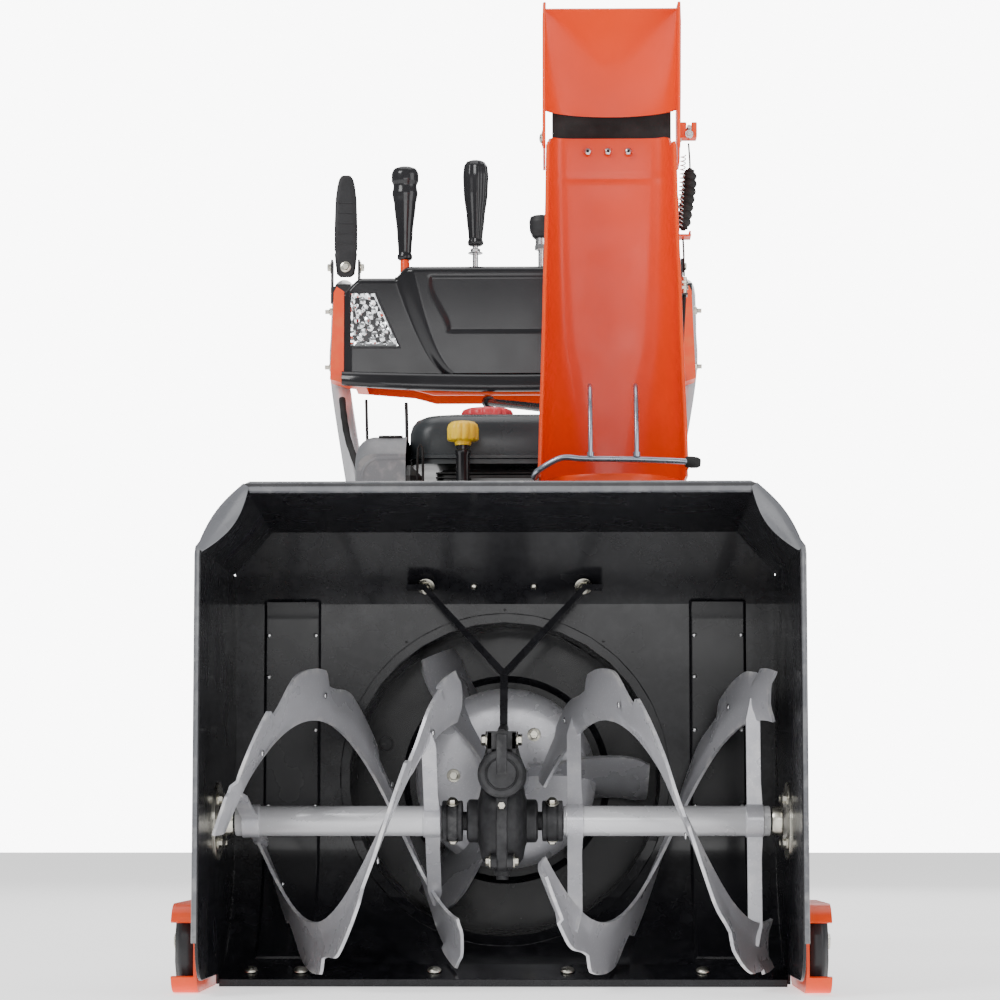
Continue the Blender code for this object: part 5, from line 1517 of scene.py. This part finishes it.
# ------------------------------------------------------------------ fuel tank and caps
bm = bmesh.new()
rings = []
for z, g, c in ((622.5, -10, 22), (623.5, -3, 26), (629, -3, 26), (630, 1.2, 28), (634, 1.4, 28), (635, -1.5, 28), (645, 0, 30), (664, -0.5, 31),
                (674, -3, 32), (682, -8.5, 34), (687, -17, 36), (689.5, -30, 36)):
    w, d0, d1 = 125 + g, 645 - g, 857 + g
    ring = []
    for cx, cy, a0 in ((w - c, d1 - c, 0), (-w + c, d1 - c, 90), (-w + c, d0 + c, 180), (w - c, d0 + c, 270)):
        ring += [P(x, y, z) for x, y in arc(cx, cy, c, a0, a0 + 90, 14)]
    rings.append(ring)
add_loft(bm, rings)
add_turned(bm, [(0, 684), (33, 684), (33, 688.5), (28, 690), (26.5, 692), (0, 692)], P(-29, 752, 0), (0, 0, 1), 48)
new("tank_body", bm, "tank", BODY, rep=("fuel_tank",), angle=40)
bm = bmesh.new()
rings = []
for z, r, q in ((692.3, 30, 0), (693, 33.2, 1), (695, 34, 1), (702, 33.6, 1), (705.5, 31.5, 1), (706.9, 28, 0.3), (707, 20, 0)):
    rings.append([P(-29 + (r - q * 1.8 * (0.5 + 0.5 * math.cos(14 * a)) ** 3) * math.cos(a),
                    752 + (r - q * 1.8 * (0.5 + 0.5 * math.cos(14 * a)) ** 3) * math.sin(a), z)
                  for a in [2 * math.pi * k / 168 for k in range(168)]])
add_loft(bm, rings)
new("filler_cap", bm, "pink_red", "fuel_filler_cap", rep=("fuel_cap",), angle=45)
bm = bmesh.new()
add_turned(bm, [(5.8, 566.6), (8.4, 567), (8.4, 628), (9.6, 630), (9.6, 634), (8.2, 635.5), (8.2, 640), (5.8, 640)],
           P(-56, 606, 0), (0, 0, 1), 36, closed=True)
new("oil_tube", bm, "gloss_plastic", BODY, rep=("dipstick_tube",))
bm = bmesh.new()
rings = []
for z, r, q in ((640.6, 9.5, 0), (645, 10.5, 0), (646.5, 18, 0.2), (648.5, 19.8, 1), (661, 19.8, 1), (666, 18.4, 0.8), (669.4, 14.5, 0.2), (670.4, 9, 0)):
    rings.append([P(-56 + (r - q * 1.3 * (0.5 + 0.5 * math.cos(12 * a)) ** 2) * math.cos(a),
                    606 + (r - q * 1.3 * (0.5 + 0.5 * math.cos(12 * a)) ** 2) * math.sin(a), z)
                  for a in [2 * math.pi * k / 144 for k in range(144)]])
add_loft(bm, rings)
add_cyl(bm, P(-56, 606, 571), P(-56, 606, 642), 2.4, 16)
new("oil_cap", bm, "yellow", "oil_dipstick", rep=("dipstick",), angle=45)
# wire loop beside the filler
bm = bmesh.new()
add_tube(bm, [tuple(p) for p in smooth([(-112, 596, 566), (-112, 596, 610), (-111, 596, 636), (-108.5, 596, 641),
                                        (-106, 596, 636), (-105, 596, 610), (-105, 596, 566)], 4)], 1.6, 12)
new("wire_loop", bm, "rubber", BODY)

# ------------------------------------------------------------------ muffler and its guard
bm = bmesh.new()
rings = []
for i in range(33):
    d = lerp(586, 742, i / 32)
    e = abs(d - 664) / 78
    zt = 654 - 30 * max(0.0, e - 0.45) ** 2 / 0.3
    w0, w1, c = -189 + 8 * max(0.0, e - 0.85) / 0.15, -126, 24
    outl = [(w1, 520), (w1, zt)] + [(w0 + c + c * math.cos(math.radians(a)), zt - c + c * math.sin(math.radians(a)))
                                    for a in range(90, 181, 9)] + [(w0, 520)]
    inl = [(w0 + 3, 520)] + [(w0 + c + (c - 3) * math.cos(math.radians(a)), zt - c + (c - 3) * math.sin(math.radians(a)))
                             for a in range(180, 89, -9)] + [(w1, zt - 3)]
    rings.append([P(x, d, z) for x, z in outl + inl])
add_loft(bm, rings)
for d in (588, 740):
    add_plate(bm, [(-126, 520), (-186, 520), (-186, 606)] + [(-165 + 21 * math.cos(math.radians(a)), 608 + 20 * math.sin(math.radians(a)))
                                                             for a in range(180, 89, -15)] + [(-126, 628)], front_place(d), 3)
new("heat_guard", bm, "grey", BODY, rep=("muffler_guard",), angle=35)
# dark pills laid on the guard where its slots are: painted shade of the openings
bm = bmesh.new()
for i in range(9):
    d = 604 + i * 15
    for z in (545, 578):
        rings = []
        for x in (-189.9, -188.2):
            rings.append([P(x, d + 3.4 * math.cos(a) , z + 11 * math.copysign(abs(math.sin(a)) ** 0.5, math.sin(a)))
                          for a in [2 * math.pi * k / 20 for k in range(20)]])
        add_loft(bm, rings)
for i in range(7):
    d = 618 + i * 15
    rings = []
    for z in (652.5, 654.7):
        rings.append([P(-146 + 15 * math.copysign(abs(math.cos(a)) ** 0.5, math.cos(a)), d + 3.0 * math.sin(a), z)
                      for a in [2 * math.pi * k / 20 for k in range(20)]])
    add_loft(bm, rings)
new("heat_guard_slot_shade", bm, "cast", BODY)
bm = bmesh.new()
for d in (598, 730):
    for z in (532,):
        add_hex(bm, P(-189, d, z), (-1, 0, 0), 5, 4)
new("heat_guard_screws", bm, "zinc", BODY)

# ------------------------------------------------------------------ engine
bm = bmesh.new()
for i in range(9):
    z = 474 + i * 13.5
    add_box(bm, 60, 148.6, 597.2, 722.6, z, z + 3.4)
for i in range(7):
    z = 578 + i * 5.6
    add_box(bm, -91.5, 91.5, 657.5, 802, z, z + 2.4)
add_box(bm, -96, 96, 569.2, 574, 408, 470)
add_box(bm, -107.5, 107.5, 600, 790, 400.5, 412)
new("engine_fins", bm, "engine", BODY, bevel=1.0)
bm = bmesh.new()
for x in (-84, -30, 30, 84):
    for z in (418, 460):
        add_hex(bm, P(x, 569.2, z), (0, -1, 0), 5.4, 4.4)
for s in (-1, 1):
    for d in (620, 690, 770):
        add_hex(bm, P(s * 107.5, d, 406), (s, 0, 0), 5.4, 4.4)
new("engine_bolts", bm, "zinc", BODY)

bm = bmesh.new()
C = P(0, 800.5, 510)
add_turned(bm, [(0, 0), (104, 0), (107, 2), (108, 6), (108, 50), (106.5, 58), (103, 60), (103, 63), (106, 65), (104, 76), (98, 86),
                (90, 90), (90, 88.5), (84, 88.5), (84, 92), (66, 97), (58, 95), (26, 95), (22, 98), (18, 102), (0, 102)],
           C, (0, 1, 0), 96)
for k in range(30):
    a = math.radians(12 * k)
    v = V((math.cos(a), 0, math.sin(a)))
    t = V((-math.sin(a), 0, math.cos(a)))
    q0, q1 = C + v * 0.03, C + v * 0.082
    rings = []
    for q, h0, h1 in ((q0, 94, 98.0), (q1, 90, 94.5)):
        rings.append([q + t * sgn * 1.5 * MM + V((0, h * MM, 0)) for sgn, h in ((-1, h0), (1, h0), (1, h1), (-1, h1))])
    add_loft(bm, rings)
new("recoil_housing", bm, "black_plastic", BODY, rep=("recoil_cover",), angle=30, bevel=0.5)
bm = bmesh.new()
for k in range(4):
    a = math.radians(45 + 90 * k)
    add_hex(bm, P(99 * math.cos(a), 880, 510 + 99 * math.sin(a)), (0, 1, 0), 4.8, 4)
new("recoil_screws", bm, "zinc", BODY)
bm = bmesh.new()
add_tube(bm, [tuple(p) for p in smooth([(70, 892, 556), (78, 900, 566), (84, 906, 574)], 2)], 2.2, 12)
rings = []
for i in range(13):
    x = lerp(60, 116, i / 12)
    e = abs(i / 6 - 1)
    r = 6.5 - 1.6 * e ** 4 - (0.8 if i in (6,) else 0)
    rings.append([P(x, 909 + r * 1.2 * math.cos(a), 578 + r * math.sin(a)) for a in [2 * math.pi * k / 20 for k in range(20)]])
add_loft(bm, rings)
new("pull_handle", bm, "rubber", BODY, bevel=0.6)

# carburettor cover details
bm = bmesh.new()
rings = []
for x, g, c in ((149, 0, 10), (186, 0, 12), (192, -3, 13), (195.6, -9, 14)):
    ring = []
    y0, y1, z0, z1 = 606 - g, 744 + g, 470 - g, 612 + g
    for cy, cz, a0 in ((y1 - c, z1 - c, 0), (y0 + c, z1 - c, 90), (y0 + c, z0 + c, 180), (y1 - c, z0 + c, 270)):
        ring += [P(x, y, z) for y, z in arc(cy, cz, c, a0, a0 + 90, 8)]
    rings.append(ring)
add_loft(bm, rings)
for i in range(6):
    z = 484 + i * 9
    add_box(bm, 193, 195.9, 690, 728, z, z + 4)
new("carb_cover_shell", bm, "black_plastic", BODY, rep=("carburetor_cover",), angle=40, bevel=0.5)
bm = bmesh.new()
add_turned(bm, [(18, -0.4), (22, -0.4), (22, 1.4), (18, 2.2)], P(195.6, 660, 520), (1, 0, 0), 40, closed=True)
add_turned(bm, [(14, -0.4), (18, -0.4), (18, 0.3), (14, 0.3)], P(195.6, 700, 575), (1, 0, 0), 40, closed=True)
for y, z in ((618, 482), (732, 600), (732, 482), (618, 600)):
    add_dome(bm, P(194.4, y, z), (1, 0, 0), 4.4, 2.0, 18)
new("carb_cover_trim", bm, "zinc", BODY)
bm = bmesh.new()
add_turned(bm, [(0, 0.4), (15, 0.4), (15.4, 2), (15, 5), (13.6, 8.5), (10, 12), (5, 13.6), (0, 14)],
           P(196, 660, 520), (1, 0, 0), 40)
new("primer_dome", bm, "pink_red", "primer", rep=("primer_bulb",))

# ------------------------------------------------------------------ wheels
for s, side in ((-1, "left"), (1, "right")):
    Cw = P(s * 225, 760, 165)
    bm = bmesh.new()
    prof = [(90.6, -43.5), (96, -48.5), (104, -50.5), (112, -51.0), (114, -49.6), (117, -49.6), (119, -51.4), (132, -51.2), (146, -48), (151, -43), (153, -36),
            (153.5, -20), (153.8, 0), (153.5, 20), (153, 36), (151, 43), (146, 48), (132, 51.2), (119, 51.4), (117, 49.6), (114, 49.6), (112, 51),
            (104, 50.5), (96, 48.5), (90.6, 43.5)]
    add_turned(bm, prof, Cw, (1, 0, 0), 96, closed=True)
    nl = 20
    for k in range(nl):
        for h in (-1, 1):
            a0 = 2 * math.pi * (k + (0.5 if h > 0 else 0)) / nl
            rings = []
            for i in range(7):
                t = i / 6
                x = h * lerp(-3, 47, t)
                a = a0 + 0.17 * (1 - t) - 0.02
                dz = lerp(0.030, 0.046, t)
                top = 164.6 - 11 * max(0.0, t - 0.72) / 0.28
                base = 150 - 8 * max(0.0, t - 0.8) / 0.2
                rings.append([Cw + V((x * MM, r * MM * math.cos(q), r * MM * math.sin(q)))
                              for r, q in ((base, a - dz * 1.25), (top, a - dz), (top, a + dz), (base, a + dz * 1.25))])
            add_loft(bm, rings)
    new("snow_tyre_" + side, bm, "tyre", "wheels", rep=("tyre_" + side,), angle=30, bevel=0.0)
    bm = bmesh.new()
    rp = [(10.9, 45), (16, 45), (24, 44), (26, 42), (26, 14), (30, 12), (56, 9.5), (62, 14), (72, 30), (79, 36),
          (82, 44), (86, 47), (92, 47), (94, 44), (91, 43.2), (90, 30), (84, 20), (84, -20), (90, -30), (91, -43.2), (94, -44), (92, -47),
          (86, -47), (82, -44), (78, -22), (68, -2), (56, 4.5), (30, 7), (26, 5), (26, -28), (10.9, -28)]
    add_turned(bm, rp, Cw, (s, 0, 0), 96, closed=True)
    new("wheel_rim_" + side, bm, "silver_paint", "wheels", rep=("rim_" + side,), angle=35)
    bm = bmesh.new()
    for k in range(4):
        a = math.radians(90 * k + 45)
        add_hex(bm, P(s * (225 + 10.8), 760 + 43 * math.cos(a), 165 + 43 * math.sin(a)), (s, 0, 0), 6.5, 5)
    add_hex(bm, P(s * 270, 760, 165), (s, 0, 0), 8.5, 6)
    new("wheel_bolts_" + side, bm, "zinc", "wheels")

# outlet neck that carries the chute
bm = bmesh.new()
add_turned(bm, [(62.4, 300), (63.2, 301), (63.2, 448), (64, 452), (70, 462), (79, 467), (80.6, 468), (80.6, 473.4), (59, 473.4),
                (58.6, 300)], P(123, 404, 0), (0, 0, 1), 96, closed=True)
for k in range(3):
    a = math.radians(90 + 120 * k)
    add_cyl(bm, P(123 + 72 * math.cos(a), 404 + 72 * math.sin(a), 452), P(123 + 72 * math.cos(a), 404 + 72 * math.sin(a), 468), 6, 20)
for v in bm.verts:
    if v.co.z < 0.302:
        x = v.co.x / MM
        v.co.z = (IZ + math.sqrt(max(400.0, 180.0 ** 2 - x * x))) * MM
new("outlet_neck", bm, "black_paint", BODY, angle=35)

# ------------------------------------------------------------------ tractor frame and belt cover details
bm = bmesh.new()
for s in (-1, 1):
    for d in (500, 620, 870):
        for z in (150, 370):
            add_hex(bm, P(s * 150.1, d, z), (s, 0, 0), 5.6, 4.6)
    add_turned(bm, [(11, 0), (30, 0), (31, 1.5), (30, 3.4), (20, 4.4), (15, 8), (11, 8)], P(s * 150.1, 760, 165),
               (s, 0, 0), 40, closed=True)
for x in (-120, 0, 120):
    for z in (150, 360):
        add_hex(bm, P(x, 900.1, z), (0, 1, 0), 5.6, 4.6)
for x, z in ((-94, 430), (94, 430), (-66, 540), (60, 540)):
    add_hex(bm, P(x, 492.1, z), (0, -1, 0), 4.8, 4)
new("frame_bolts", bm, "zinc", BODY)
bm = bmesh.new()
for s in (-1, 1):
    rings = []
    for x, g in ((150, 0), (153.2, 4)):
        rings.append([P(s * x, d, z) for d, z in ((530 + g, 205 + g), (700 - g, 205 + g), (700 - g, 345 - g), (530 + g, 345 - g))])
    add_loft(bm, rings)
rings = []
for d, g in ((900, 0), (903.2, 5)):
    rings.append([P(x, d, z) for x, z in ((-104 + g, 190 + g), (104 - g, 190 + g), (104 - g, 330 - g), (-104 + g, 330 - g))])
add_loft(bm, rings)
for s in (-1, 1):
    add_box(bm, s * 136 - 14, s * 136 + 14, 898, 903, 120, 398)
new("frame_panels", bm, "black_paint", BODY, bevel=0.9)
bm = bmesh.new()
out = [(-106, 402), (-106, 455), (-62, 562), (62, 562), (106, 455), (106, 402)]
rings = []
for d, k in ((492.4, 0.86), (489.2, 0.82), (489.2, 0.70), (491.4, 0.66)):
    rings.append([P(x * k, d, 478 + (z - 478) * k) for x, z in out])
add_loft(bm, rings)
new("belt_cover_panel", bm, "black_plastic", BODY, bevel=0.8)

# soften what stays of the frame
for nm in ("tractor_frame", "belt_cover", "dash_tray", "dash_console", "engine_block", "muffler", "impeller_drum",
           "gearbox_brace", "choke_knob", "throttle_lever", "stop_key"):
    ob = NODES[nm]
    b = ob.modifiers.new("edges", "BEVEL")
    b.width = 0.0012
    b.segments = 2
    b.limit_method = "ANGLE"
    b.angle_limit = math.radians(40)
    b.use_clamp_overlap = True
    b.harden_normals = False
